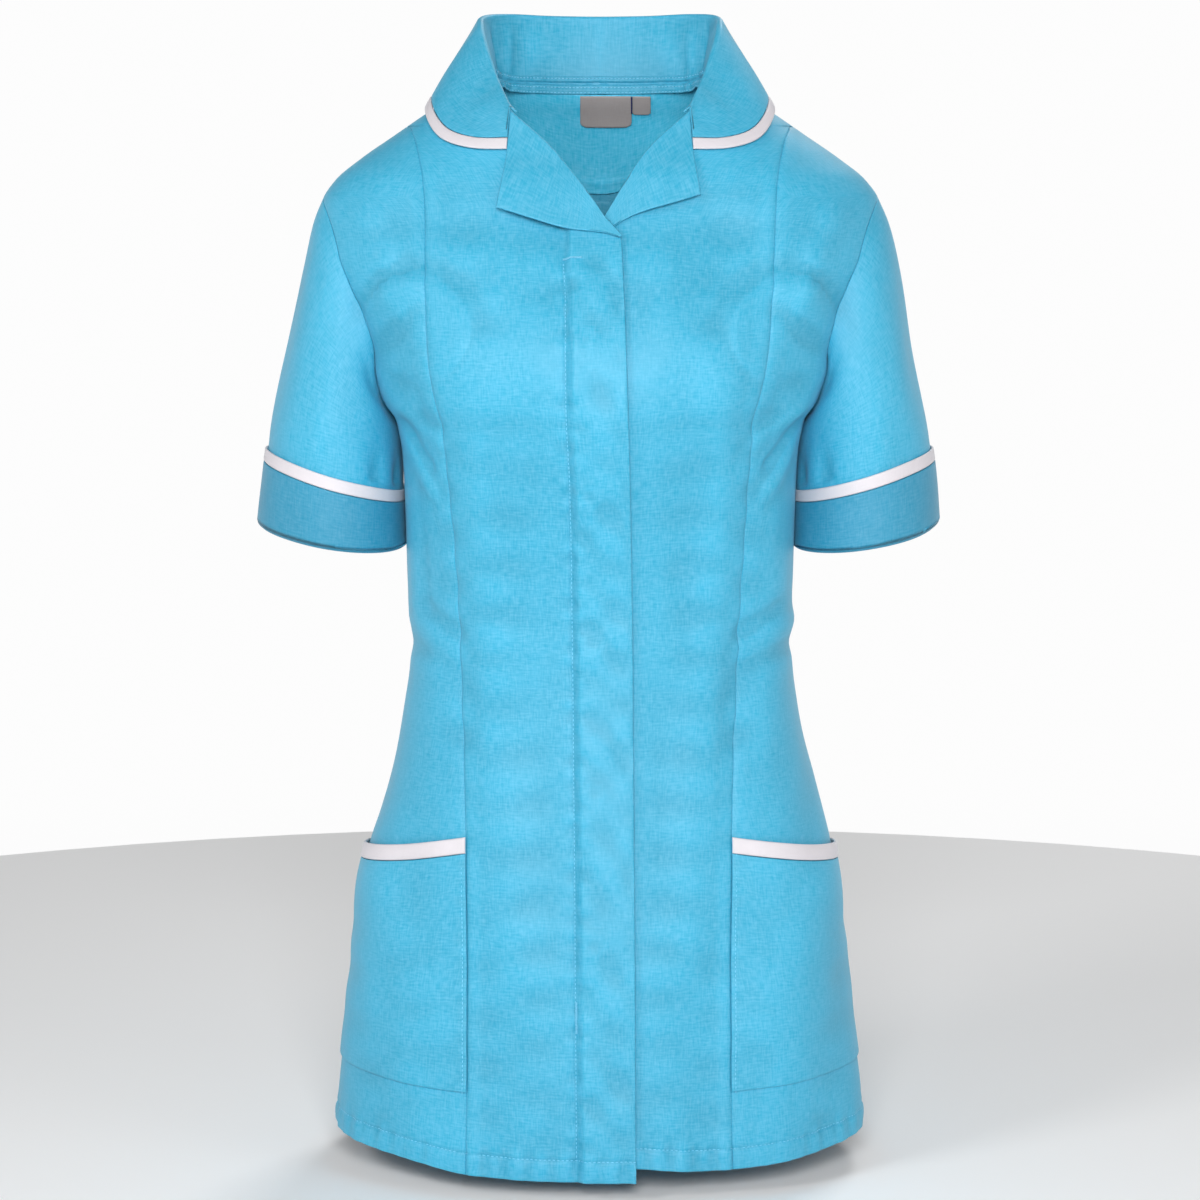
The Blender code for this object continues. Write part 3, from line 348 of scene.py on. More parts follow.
def ridges_of(outer, inward, tube):
    """How far each point stands out from its neighbours: more than 0 on a ridge of the
    cloth and less in a trough."""
    total = np.zeros(outer.shape[:2])
    for axis in (0, 1):
        count = outer.shape[axis]
        for reach in (2, 4):
            spots = np.arange(count)
            if axis == 1 and tube:
                before, after = (spots - reach) % count, (spots + reach) % count
            else:
                near = np.minimum(np.minimum(spots, count - 1 - spots), reach)
                before, after = spots - near, spots + near
            middle = (np.take(outer, before, axis) + np.take(outer, after, axis)) / 2
            total += ((middle - outer) * inward).sum(axis=-1)
    return total


def new_object(name, data):
    """An object in the scene that shows a mesh, a lamp or a camera."""
    made = bpy.data.objects.new(name, data)
    bpy.context.scene.collection.objects.link(made)
    return made


def shell(name, outer, inward, thickness, material, tube=False, mirror=False):
    """A thin closed sheet: the outer points, the same points moved inwards, and rounded edges between.
    Its own UV map, in metres, follows the threads, and a point attribute tells the ridges of the cloth
    from the troughs, from which the cloth's material paints shade into the troughs and light onto the
    ridges."""
    outer, inward = true_side(outer, mirror), true_side(inward, mirror)
    rows, columns = outer.shape[:2]
    half = np.broadcast_to(thickness, (rows, columns))[..., None] / 2
    edge = np.zeros_like(outer)
    edge[0] += unit(outer[0] - outer[1])
    edge[-1] += unit(outer[-1] - outer[-2])
    if not tube:
        edge[:, 0] += unit(outer[:, 0] - outer[:, 1])
        edge[:, -1] += unit(outer[:, -1] - outer[:, -2])
    size = np.linalg.norm(edge, axis=-1, keepdims=True)
    edge = edge / np.where(size > 0, size, 1)
    core = outer + inward * half - edge * half
    across = np.concatenate([outer, outer[:, :1]], axis=1) if tube else outer
    u = run_lengths(across, 1)
    u = u - u[:, u.shape[1] // 2][:, None]
    v = np.repeat(-run_lengths(outer, 0).mean(axis=1)[:, None], u.shape[1], axis=1)
    weave = np.stack([u, v], axis=-1).reshape(-1, 2)
    wide, span = (columns if tube else columns - 1), u.shape[1]
    i, j = (a.ravel() for a in np.meshgrid(np.arange(rows - 1), np.arange(wide), indexing="ij"))
    corners = ((i, j), (i, j + 1), (i + 1, j + 1), (i + 1, j))
    quads = np.stack([a * columns + b % columns for a, b in corners], axis=-1)
    threads = np.stack([a * span + b for a, b in corners], axis=-1)
    count = rows * columns
    relief_shading = ridges_of(outer, inward, tube).ravel()
    relief_shadings = [relief_shading, -relief_shading]
    layers = [(core - inward * half).reshape(-1, 3), (core + inward * half).reshape(-1, 3)]
    faces = [quads, quads[:, ::-1] + count]
    uvs = [threads, threads[:, ::-1]]
    top, low = [(0, k) for k in range(span)], [(rows - 1, k) for k in range(span)][::-1]
    right, left = [(k, columns - 1) for k in range(rows)], [(k, 0) for k in range(rows)][::-1]
    loops = [top, low] if tube else [top[:-1] + right[:-1] + low[:-1] + left]
    start = 2 * count
    for loop in loops:
        spot = np.array([a * columns + b % columns for a, b in loop])
        thread = np.array([a * span + b for a, b in loop])
        lines = [spot]
        for angle in (45, 90, 135):
            turned = math.radians(angle)
            spoke = edge.reshape(-1, 3)[spot] * math.sin(turned)
            spoke = spoke - inward.reshape(-1, 3)[spot] * math.cos(turned)
            layers.append(core.reshape(-1, 3)[spot] + half.reshape(-1, 1)[spot] * spoke)
            relief_shadings.append(relief_shading[spot])
            places = start + np.arange(len(spot))
            places[-1] = start
            lines.append(places)
            start += len(spot)
        lines.append(spot + count)
        for upper, lower in zip(lines, lines[1:]):
            faces.append(np.stack([upper[1:], upper[:-1], lower[:-1], lower[1:]], axis=-1))
            uvs.append(np.stack([thread[1:], thread[:-1], thread[:-1], thread[1:]], axis=-1))
    points, faces, uvs = np.concatenate(layers), np.concatenate(faces), np.concatenate(uvs)
    a, b, c = (points[quads[:, k]] for k in (0, 1, 3))
    if (np.cross(b - a, c - a) * inward[i, j]).sum() > 0:
        faces, uvs = faces[:, ::-1], uvs[:, ::-1]
    used = np.unique(faces)
    renumbered = np.zeros(len(points), int)
    renumbered[used] = np.arange(len(used))
    mesh = bpy.data.meshes.new(name)
    mesh.from_pydata(points[used].tolist(), [], renumbered[faces].tolist())
    layer = mesh.uv_layers.new(name="weave")
    layer.data.foreach_set("uv", weave[uvs.ravel()].ravel())
    raised = mesh.attributes.new("relief_shading", "FLOAT", "POINT")
    raised.data.foreach_set("value", np.concatenate(relief_shadings)[used])
    mesh.shade_smooth()
    mesh.materials.append(material)
    return new_object(name, mesh)


def sewn(piece, node=None):
    """Hangs a piece on the tunic's root, and hides the CAD node that it stands for."""
    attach(piece, "root")
    if node:
        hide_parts(node)
    return piece


def add(tree, kind, inputs=(), **settings):
    """A node with its settings, and its inputs linked or filled in."""
    made = tree.nodes.new(kind)
    for key, value in settings.items():
        setattr(made, key, value)
    for socket, value in dict(inputs).items():
        if isinstance(value, bpy.types.NodeSocket):
            tree.links.new(value, made.inputs[socket])
        else:
            made.inputs[socket].default_value = value
    return made


def maths(tree, operation, a, b=0.0, c=0.0):
    return add(tree, "ShaderNodeMath", {0: a, 1: b, 2: c}, operation=operation).outputs[0]


def noise(tree, where, scale, detail):
    inputs = {"Vector": where, "Scale": scale, "Detail": detail}
    return add(tree, "ShaderNodeTexNoise", inputs).outputs[0]


def between(tree, value, low, high, start=0.0, end=1.0, kind="LINEAR"):
    """The value, which runs from start to end, spread from low to high."""
    inputs = {0: value, 1: start, 2: end, 3: low, 4: high}
    return add(tree, "ShaderNodeMapRange", inputs, interpolation_type=kind).outputs[0]


def new_material(name):
    """A material, its node tree, its shader and its pattern's place on the object."""
    made = bpy.data.materials.new(name)
    made.use_nodes = True
    tree = made.node_tree
    where = add(tree, "ShaderNodeTexCoord").outputs["Object"]
    return made, tree, tree.nodes["Principled BSDF"], where


def coloured(tree, surface, colour, value, saturation=1.0):
    """Links a base colour whose strength varies."""
    inputs = {"Saturation": saturation, "Value": value, "Color": (*colour, 1.0)}
    dyed = add(tree, "ShaderNodeHueSaturation", inputs).outputs[0]
    tree.links.new(dyed, surface.inputs["Base Color"])


def bumped(tree, surface, height, strength, distance):
    inputs = {"Height": height, "Strength": strength, "Distance": distance}
    tree.links.new(add(tree, "ShaderNodeBump", inputs).outputs[0], surface.inputs["Normal"])


def constants(surface, **values):
    """Sets inputs that stay the same over the whole surface."""
    for name, value in values.items():
        surface.inputs[name.replace("_", " ")].default_value = value


def streaks(tree, uv, across, along, detail):
    """Uneven threads: noise that is fine across them and drawn out along them."""
    scaled = add(tree, "ShaderNodeMapping", {0: uv, "Scale": (across, along, 1.0)}).outputs[0]
    return noise(tree, scaled, 1.0, detail)


def woven(
    name, colour, rib=0.0009, sheen=0.10, roughness=0.52, cloudy=0.09, threads=0.26,
    grain=0.22, gloss=0.42,
):
    """Poly-cotton twill: a fine diagonal rib, uneven threads both ways, slow clouds of lighter and
    deeper tone, a soft sheen, and painted shade in the troughs of the cloth with painted light on its
    ridges."""
    made, tree, surface, where = new_material(name)
    uv = add(tree, "ShaderNodeUVMap", uv_map="weave").outputs[0]
    clouds, crumple = noise(tree, where, 14.0, 4.0), noise(tree, where, 90.0, 5.0)
    warp, weft = streaks(tree, uv, 820.0, 130.0, 3.0), streaks(tree, uv, 150.0, 820.0, 3.0)
    slubs = streaks(tree, uv, 75.0, 9.0, 2.0)
    parts = add(tree, "ShaderNodeSeparateXYZ", {0: uv}).outputs
    diagonal = maths(tree, "MULTIPLY", maths(tree, "ADD", parts[0], parts[1]), 2 * math.pi / rib)
    twill = maths(tree, "SINE", diagonal)
    thread = maths(tree, "ADD", warp, weft)
    uneven = maths(tree, "SUBTRACT", thread, 1.0)
    slow = maths(tree, "ADD", clouds, maths(tree, "MULTIPLY", slubs, 0.4))
    cloud = maths(tree, "MULTIPLY", maths(tree, "SUBTRACT", slow, 0.7), cloudy * 2)
    value = maths(tree, "ADD", maths(tree, "MULTIPLY_ADD", uneven, threads, 1.0), cloud)
    value = maths(tree, "ADD", value, maths(tree, "MULTIPLY", twill, 0.03))
    # Painted light and shade: ridges of the cloth are drawn lighter and its troughs darker.
    relief_shading = add(tree, "ShaderNodeAttribute", attribute_name="relief_shading").outputs["Fac"]
    value = maths(tree, "ADD", value, between(tree, relief_shading, -0.085, 0.045, -0.0015, 0.0020))
    paler = maths(tree, "SUBTRACT", 1.0, maths(tree, "MULTIPLY", uneven, threads * 0.8))
    coloured(tree, surface, colour, value, paler)
    dull = maths(tree, "MULTIPLY_ADD", uneven, 0.3, roughness)
    tree.links.new(dull, surface.inputs["Roughness"])
    ridges = maths(tree, "ADD", maths(tree, "MULTIPLY", twill, 0.15), thread)
    height = maths(tree, "ADD", ridges, maths(tree, "MULTIPLY", crumple, 1.2))
    bumped(tree, surface, height, grain, 0.0005)
    constants(surface, Sheen_Weight=sheen, Sheen_Roughness=0.4, Specular_IOR_Level=gloss)
    constants(surface, Sheen_Tint=(0.70, 0.92, 1.0, 1.0))
    return made


sky_twill = woven("sky_twill", (0.050, 0.355, 0.535))


def fly_lift(x, z):
    """How far the lapping front stands off: x runs from its own side, so it is negative
    past the centre line."""
    return ease((fly_stitch_x(z) - x) / FLY_SLOPE) * fly_lift_at(z)


def fly_lift_at(z):
    """How far it stands off at its edge."""
    return FLY_LIFT * ease((FLY_LIFT_TOP - z) / (FLY_LIFT_TOP - FLY_LIFT_FULL))


def hemmed(turns, heights, hem):
    """Heights with the lowest rows spread so that the last one follows the hem's line."""
    line = line_through(hem)(np.abs(form(turns, heights)[..., 0]) * np.sign(turns))
    share = np.clip((HEM_START - heights) / (HEM_START - HEM_HEIGHT), 0, 1)
    return heights + (line - HEM_HEIGHT) * share


HEM_STITCHED = HEM_HEIGHT + HEM_DEPTH


def hem_line(x, hem):
    """The height of the hem's stitching at x on one side."""
    share = (HEM_START - HEM_STITCHED) / (HEM_START - HEM_HEIGHT)
    return HEM_STITCHED + (line_through(hem)(x) - HEM_HEIGHT) * share


ARMHOLE_Y, ARMHOLE_DEPTH, ARMHOLE_TOP, ARMHOLE_BOTTOM = 0.003, 0.053, -0.081, -0.230
ARMHOLE_MIDDLE = (ARMHOLE_TOP + ARMHOLE_BOTTOM) / 2
ARMHOLE_HALF = ARMHOLE_TOP - ARMHOLE_MIDDLE
ARMHOLE_STEPS = 50
# Where rows of points lie above and below the hem's stitching.
BESIDE_HEM_STITCHES = (0.0028, 0.0016, 0.0008, 0, -0.0008, -0.0016, -0.003, -0.006, -0.009, -0.012)


def armhole_height(angle):
    """The height on the armhole at an angle from its top."""
    return ARMHOLE_MIDDLE + ARMHOLE_HALF * np.cos(angle)


def cloth_rows(first):
    """Heights of the rows of points, close together where the hem is stitched."""
    beside_armhole = armhole_height(np.linspace(0, math.pi, ARMHOLE_STEPS + 1))
    above = np.concatenate([np.linspace(-0.0006, SEAM_TOP, 13), [SEAM_TOP - 0.0006]])
    above = np.concatenate([above, np.arange(SEAM_TOP - ROW_PITCH, ARMHOLE_TOP, -ROW_PITCH)])
    below = np.arange(ARMHOLE_BOTTOM - ROW_PITCH, HEM_STITCHED + 0.004, -ROW_PITCH)
    hem = HEM_STITCHED + np.array(BESIDE_HEM_STITCHES)
    rows = np.concatenate([above, beside_armhole, below, hem, [HEM_HEIGHT + 0.0014, HEM_HEIGHT]])
    return rows[rows <= first]


def level(rows, count):
    """The heights of level rows, once for every point along them."""
    return np.repeat(np.asarray(rows)[:, None], count, axis=1)


def puckered(along, away, reach=0.006, rise=0.00032, pitch=0.011):
    """Small gathers that a line of stitching draws into the cloth beside it."""
    wave = np.sin(along * 2 * math.pi / pitch)
    wave = wave + 0.6 * np.sin(along * 2 * math.pi / (pitch * 1.73) + 1.0)
    return rise * wave * bell(away, reach)


def stitch_dip(away, depth=0.0006, width=0.0011):
    """The shallow groove along a line of stitching."""
    return -depth * bell(away, width)


def hem_relief(points, hem):
    """The stitched groove, the gathers beside it and the fuller turned edge below."""
    x = np.abs(points[..., 0])
    away = points[..., 2] - hem_line(x, hem)
    below = ease(-away / 0.004) * ease((away + 0.0165) / 0.010)
    gathers = puckered(points[..., 0] + points[..., 1] * 0.7, away + 0.005, 0.010, 0.0009, 0.017)
    return stitch_dip(away) + gathers + 0.0004 * below


def seam_relief(away):
    """The cloth beside a pressed-open seam lies over its turned edges."""
    away = np.abs(away)
    return 0.00040 * ease((0.0105 - away) / 0.003) - 0.0008 * bell(away, 0.0013)


def hem_thickness(points, hem):
    away = points[..., 2] - hem_line(np.abs(points[..., 0]), hem)
    return CLOTH + (HEM_CLOTH - CLOTH) * ease(-(away - 0.0015) / 0.001)


def front_start(z, lapping):
    """Where a front's row starts: on the neck seam, on the roll line, then at its edge."""
    roll = ROLL_OVER if lapping else ROLL_UNDER
    if z >= NECKLINE[-1][0]:
        return float(neckline_x(z))
    if z > roll[-1][0]:
        return float(line_through(roll)(z))
    return float(-fly_edge_x(z) if lapping else fly_edge_x(z) - UNDERLAP)


def princess_turn(z):
    return np.where(z >= SEAM_TOP, 90.0, turn_at_x(princess_x(z), z))


STUD_COUNT, STUD_FIRST, STUD_PITCH = 5, -0.175, 0.100
STUD_FROM_STITCHING, STUD_RADIUS, STUD_THICKNESS = 0.0125, 0.0055, 0.0016


def fly_relief(x, z):
    """What shows through the fly: its stitching, its gathers and the studs beneath."""
    away = x + fly_stitch_x(z)
    shown = ease((-0.118 - z) / 0.006)
    total = (stitch_dip(away) + puckered(z, away - 0.002, 0.009, 0.00055, 0.015)) * shown
    inside = ease(away / 0.006) * ease((fly_edge_x(z) - x) / 0.004)
    ripple = np.sin(z * 133 + x * 40 + 1.8 * np.sin(z * 17)) * np.sin(z * 41 + 1.0)
    ripple = ripple * np.sin(x * 150 + z * 11 + 0.6)
    total += 0.0014 * inside * shown * ripple
    for index in range(STUD_COUNT):
        height = STUD_FIRST - index * STUD_PITCH
        apart = np.hypot(x - (STUD_FROM_STITCHING - fly_stitch_x(height)), z - height)
        rise = 0.0009 if index == 0 else 0.0005
        total += rise * (bell(apart - STUD_RADIUS - 0.001, 0.0018) - 0.5 * bell(apart, 0.003))
    return total


def front_grid(mirror, hem):
    """Turns and heights of a front, with its columns close together beside the fly's
    line of stitching."""
    rows = cloth_rows(-0.0006)
    start = np.array([front_start(z, mirror) for z in rows])
    end = np.where(rows >= SEAM_TOP, HALF_WIDTH(rows), princess_x(rows))
    width = end - start
    slope = np.maximum(fly_stitch_x(rows) - FLY_SLOPE, start + 0.14 * width)
    seam = np.maximum(fly_stitch_x(rows) + 0.0018, slope + 0.07 * width)
    shares = (np.linspace(0, 1, 13)[:-1], np.linspace(0, 1, 11)[:-1], np.linspace(0, 1, 33))
    spans = ((start, slope), (slope, seam), (seam, end))
    x = [a[:, None] + (b - a)[:, None] * s for (a, b), s in zip(spans, shares)]
    x = np.concatenate(x, axis=1)
    turns = turn_at_x(x, rows[:, None])
    turns[:, -1] = princess_turn(rows)
    spread = np.linspace(0, 1, turns.shape[1])
    high = (rows >= SEAM_TOP - 0.03)[:, None]
    by_turn = turns[:, :1] + (turns[:, -1:] - turns[:, :1]) * spread
    blend = ease((rows[:, None] - SEAM_TOP + 0.03) / 0.03)
    turns = np.where(high, turns * (1 - blend) + by_turn * blend, turns)
    return turns, hemmed(turns, level(rows, turns.shape[1]), hem)


# Each side, whether it is mirrored and laps over, and the line of its front's hem.
SIDES = (("right", True, HEM_OVER), ("left", False, HEM_UNDER))
for side, mirror, hem in SIDES:
    turns, heights = front_grid(mirror, hem)
    base = form(turns, heights)
    x, z = base[..., 0], base[..., 2]
    out = hem_relief(base, hem)
    out = out + seam_relief(princess_x(z) - x) * ease((SEAM_TOP - z) / 0.02)
    thickness = hem_thickness(base, hem)
    if mirror:
        out = out + fly_lift(x, z) + fly_relief(-x, z)
        turned = ease((fly_stitch_x(z) - x) / 0.001) * ease((FLY_LIFT_FULL - z) / 0.02)
        thickness = thickness + (FLY_CLOTH - CLOTH) * turned
    points, normals = worn(turns, heights, out, mirror)
    points = pull_in(points, 0.0, SEAM_MEET)
    name = "front_" + side
    piece = shell(name + "_cloth", points, -normals, thickness, sky_twill, mirror=mirror)
    sewn(piece, name)

# ------------------------------------------------------------------ the side fronts
# The same twill, cut as a panel from the shoulder past the armhole to the hem and joined
# to the centre front by the princess seam, which gives the bust and waist their shape.


def turn_at_y(y, height):
    """The turn on the wearer's left where the form is at y, front or back."""
    side_y = SIDE_Y(height)
    depth = np.where(y < side_y, FRONT(height) + side_y, BACK(height) - side_y)
    share = np.clip(np.abs(y - side_y) / depth, 0, 1)
    ahead = np.degrees(np.arccos(share ** (SQUARENESS(height) / 2)))
    return np.where(y < side_y, ahead, 180 - ahead)


def armhole_turn(height, is_front):
    """The turn where a level row ends at the armhole."""
    across = np.sqrt(np.clip(1 - ((height - ARMHOLE_MIDDLE) / ARMHOLE_HALF) ** 2, 0, 1))
    y = ARMHOLE_Y + (-1 if is_front else 1) * ARMHOLE_DEPTH * across
    return turn_at_y(y, height)


def at_armhole(rows):
    return (rows > ARMHOLE_BOTTOM + STEP) & (rows < ARMHOLE_TOP - STEP)


def side_end(rows, is_front):
    """Where rows end at the shoulder line, the armhole or the side seam."""
    return np.where(at_armhole(rows), armhole_turn(rows, is_front), 90.0)


def side_gap(rows):
    """The gap at the end of each row: a little at the armhole, none where panels meet."""
    return np.where(at_armhole(rows), SEAM_GAP / 4, SEAM_MEET)[:, None]


def panel(rows, start, end, columns, hem):
    """Turns and heights of a panel whose level rows run from start to end."""
    share = np.linspace(0, 1, columns + 1)
    turns = start[:, None] + (end - start)[:, None] * share
    return turns, hemmed(turns, level(rows, columns + 1), hem)


SIDE_COLUMNS = 30
for side, mirror, hem in SIDES:
    rows = cloth_rows(SEAM_TOP - 0.0006)
    turns, heights = panel(rows, princess_turn(rows), side_end(rows, True), SIDE_COLUMNS, hem)
    base = form(turns, heights)
    out = hem_relief(base, hem)
    out += seam_relief(base[..., 0] - princess_x(base[..., 2])) * ease((SEAM_TOP - heights) / 0.02)
    points, normals = worn(turns, heights, out, mirror)
    points = pull_in(points, SEAM_MEET, side_gap(rows))
    thickness = hem_thickness(base, hem)
    name = "side_front_" + side
    piece = shell(name + "_cloth", points, -normals, thickness, sky_twill, mirror=mirror)
    sewn(piece, name)

# ------------------------------------------------------------------ the back
# Two halves of the same twill, seamed down the centre and shaped to the waist by a long
# dart in each.  The neck edge dips at the middle, where the collar is sewn on.
NECK_DIP = 0.0085
HEM_BACK = ((0.000, -0.729), (0.090, -0.7265), (0.186, -0.7205))
BACK_COLUMNS = 62
DART_X, DART_TOP, DART_BOTTOM, DART_DEPTH = 0.078, -0.235, -0.520, 0.0007
for side, mirror, _ in SIDES:
    rows = cloth_rows(-0.0006)
    middle = np.full(len(rows), 180.0)
    turns, heights = panel(rows, middle, side_end(rows, False), BACK_COLUMNS, HEM_BACK)
    dip = NECK_DIP * np.cos(np.radians(turns)) ** 2
    heights = heights - dip * ease((rows - SEAM_TOP) / (-0.0006 - SEAM_TOP))[:, None]
    base = form(turns, heights)
    dart_x = DART_X - 0.012 * bell(base[..., 2] - (DART_TOP + DART_BOTTOM) / 2, 0.09)
    along = ease((DART_TOP - base[..., 2]) / 0.06) * ease((base[..., 2] - DART_BOTTOM) / 0.06)
    apart = base[..., 0] - dart_x
    dart = 0.0005 * bell(apart - 0.004, 0.0035) - DART_DEPTH * bell(apart, 0.0018)
    out = hem_relief(base, HEM_BACK) + along * dart
    out += seam_relief(base[..., 0]) * ease((-0.03 - heights) / 0.04)
    points, normals = worn(turns, heights, out, mirror)
    points = pull_in(points, SEAM_MEET, side_gap(rows))
    thickness = hem_thickness(base, HEM_BACK)
    name = "back_" + side
    piece = shell(name + "_cloth", points, -normals, thickness, sky_twill, mirror=mirror)
    sewn(piece, name)

# ------------------------------------------------------------------ seam allowances
# Inside, each seam's turned edges are pressed open and show as a narrow double strip of
# the same twill that covers the join.
ALLOWANCE, ALLOWANCE_CLOTH, ALLOWANCE_GAP, ALLOWANCE_SHARES = 0.009, 0.0008, 0.0002, 6
ALLOWANCE_END = HEM_HEIGHT + 0.016


def seam_strip(name, middle, rows, mirror, hem):
    """A seam's turned edges, pressed flat against the inside of the cloth: an allowance
    wide to either side of the seam, whose turn at each row is given as its middle."""
    spans = np.linspace(-ALLOWANCE, ALLOWANCE, ALLOWANCE_SHARES + 1)
    centre = form(middle, rows)
    beside = form(middle + 0.5, rows)
    per_metre = 0.5 / np.linalg.norm(beside - centre, axis=-1)
    turns = middle[:, None] + spans[None] * per_metre[:, None]
    heights = level(rows, turns.shape[1])
    heights = hemmed(turns, heights, hem) if hem else heights
    points, normals = worn(turns, heights, -(CLOTH + ALLOWANCE_GAP), mirror)
    points = pull_in(points, 0.0006)
    made = shell(name, points, -normals, ALLOWANCE_CLOTH, sky_twill, mirror=mirror)
    sewn(made)


for side, mirror, hem in SIDES:
    rows = np.linspace(SEAM_TOP - 0.006, ALLOWANCE_END, 170)
    middle = princess_turn(rows)
    seam_strip("princess_allowance_" + side, middle, rows, mirror, hem)
    rows = np.linspace(ARMHOLE_BOTTOM - 0.006, ALLOWANCE_END, 130)
    middle = np.full(len(rows), 90.0)
    seam_strip("side_allowance_" + side, middle, rows, mirror, hem)
    rows = np.linspace(-0.008, ARMHOLE_TOP + 0.003, 30)
    middle = np.full(len(rows), 90.0)
    seam_strip("shoulder_allowance_" + side, middle, rows, mirror, None)
rows = np.linspace(-0.084, ALLOWANCE_END, 170)
middle = np.full(len(rows), 180.0)
seam_strip("back_allowance", middle, rows, False, HEM_BACK)

# ------------------------------------------------------------------ sleeves and cuffs
# Short set-in sleeves of the same twill.  Each ends in a turned-back cuff of the same twill, drawn in
# a darker blue as painted shade, with a folded white binding let in along its top.
SleeveRing = namedtuple("SleeveRing", "in_x in_z out_x out_z middle_y half_depth")
SLEEVE_RINGS = [
    SleeveRing(*row)
    for row in (
        (0.137, -0.23, 0.187, -0.081, 0.003, 0.053),
        (0.1378, -0.2325, 0.1945, -0.0985, 0.0035, 0.055),
        (0.1378, -0.235, 0.2028, -0.128, 0.004, 0.057),
        (0.1376, -0.2375, 0.2096, -0.16, 0.005, 0.059),
        (0.1374, -0.241, 0.2155, -0.19, 0.006, 0.06),
        (0.1372, -0.249, 0.2212, -0.218, 0.007, 0.06),
        (0.137, -0.264, 0.2254, -0.2385, 0.0075, 0.058),
        (0.1367, -0.2805, 0.2275, -0.2518, 0.008, 0.0565),
        (0.1365, -0.2885, 0.2291, -0.2606, 0.008, 0.056),
        (0.1363, -0.3045, 0.232, -0.2825, 0.008, 0.055),
        (0.1362, -0.3195, 0.2341, -0.303, 0.008, 0.054),
    )
]
PIPING_TOP_RING, PIPING_END_RING, RING_SHARES = 7, 8, 8
UNDERARM_LIFT, CUFF_TILT = 0.35, 0.0065
# Puckers above the binding, by angle round the sleeve in degrees from its outer line,
# down its front first.
Pucker = namedtuple("Pucker", "ring angle rings degrees rise")
PUCKERS = [
    Pucker(*row)
    for row in (
        (6.5, 128, 0.9, 7, -0.0022),
        (6.6, 158, 0.8, 6, -0.0026),
        (6.3, 143, 1.2, 8, 0.0009),
        (1.6, 118, 0.8, 16, -0.0022),
        (3.5, 100, 2.0, 18, -0.0012),
        (4.0, 50, 2.5, 16, 0.001),
        (3.2, 20, 2.2, 12, -0.0008),
        (5.5, 75, 1.4, 20, 0.0009),
        (6.4, 225, 0.9, 8, -0.0015),
        (3.0, 250, 1.8, 20, -0.0014),
        (4.5, 300, 2.2, 18, 0.001),
    )
]


def sleeve_grid(mirror):
    """Rings of points from the armhole seam to the sleeve's end, and the directions into
    the cloth at each."""
    around = np.linspace(0, 2 * math.pi, 2 * ARMHOLE_STEPS + 1)[:-1]
    edge_z = armhole_height(around)
    edge_y = ARMHOLE_Y - ARMHOLE_DEPTH * np.sin(around)
    at_ends = np.abs(np.sin(around)) < STEP
    edge_turn = np.where(at_ends, 90.0, turn_at_y(edge_y, edge_z))
    armhole, _ = worn(edge_turn, edge_z, 0.0, mirror)
    count = len(SLEEVE_RINGS) - 1
    place = np.linspace(0, count, count * RING_SHARES + 1)
    read = {
        name: smooth_curve(range(count + 1), [getattr(r, name) for r in SLEEVE_RINGS])(place)
        for name in SleeveRing._fields
    }
    inner = np.stack([read["in_x"], read["middle_y"], read["in_z"]], axis=-1)
    outer = np.stack([read["out_x"], read["middle_y"], read["out_z"]], axis=-1)
    centre, reach = (inner + outer) / 2, (outer - inner) / 2
    depth = np.stack([0 * place, -read["half_depth"], 0 * place], axis=-1)
    rings = centre[:, None] + np.cos(around)[None, :, None] * reach[:, None]
    rings = rings + np.sin(around)[None, :, None] * depth[:, None]
    share = np.clip(place / PIPING_TOP_RING, 0, 1)
    rings = rings + ((1 - ease(share * 1.4)) ** 2)[:, None, None] * (armhole - rings[0])[None]
    rings[..., 2] -= (place / count)[:, None] ** 4 * CUFF_TILT * np.sin(around)
    rings[..., 0] -= 0.0017 * ease(place / 6)[:, None] * (1 - np.cos(around)) / 2
    rings[0] += SEAM_GAP * unit(rings[1] - rings[0])
    along = np.gradient(rings, axis=0)
    across = np.roll(rings, -1, axis=1) - np.roll(rings, 1, axis=1)
    inward = unit(np.cross(across, along))
    to_middle = rings.mean(axis=1, keepdims=True) - rings
    inward *= np.sign((inward * to_middle).sum(axis=-1, keepdims=True))
    into_body = -form_normal(edge_turn, edge_z)
    lifted = np.outer(1 - np.cos(around), np.array([0.0, 0.0, UNDERARM_LIFT]))
    first = unit(into_body * 0.6 + inward[1] * 0.4 + lifted)
    for i in range(RING_SHARES):
        turned = ease(i / RING_SHARES)
        inward[i] = unit(first * (1 - turned) + inward[i] * turned)
    degrees = np.degrees(around)[None]
    rise = np.zeros(rings.shape[:2])
    for p in PUCKERS:
        bend = (degrees - p.angle + 180) % 360 - 180
        rise += p.rise * bell(place[:, None] - p.ring, p.rings) * bell(bend, p.degrees)
    free = ease(place / 1.5)[:, None] * ease((PIPING_TOP_RING - 0.05 - place) / 0.35)[:, None]
    sag = drape(true_side(rings, mirror))
    rings = rings - inward * ((rise * free + sag * ease(place / 2.0)[:, None] * 0.8)[..., None])
    return rings, inward


def folded_end(band, facing_in, radius, rise):
    """Rows that turn a tube's last row back on its inside, as a hem does."""
    down, side = unit(band[-1] - band[-3]), facing_in[-1]
    last = band[-1] - down * radius
    rows, sides = [*band[:-1], last], [*facing_in]
    for angle in np.linspace(0, math.pi, FOLD_STEPS + 1)[1:]:
        spoke = down * math.sin(angle) - side * math.cos(angle)
        rows.append(last + (side + spoke) * radius)
        sides.append(-spoke)
    for _ in range(FOLD_STEPS):
        rows.append(rows[-1] - down * (rise / FOLD_STEPS))
        sides.append(-side)
    return np.array(rows), np.array(sides)
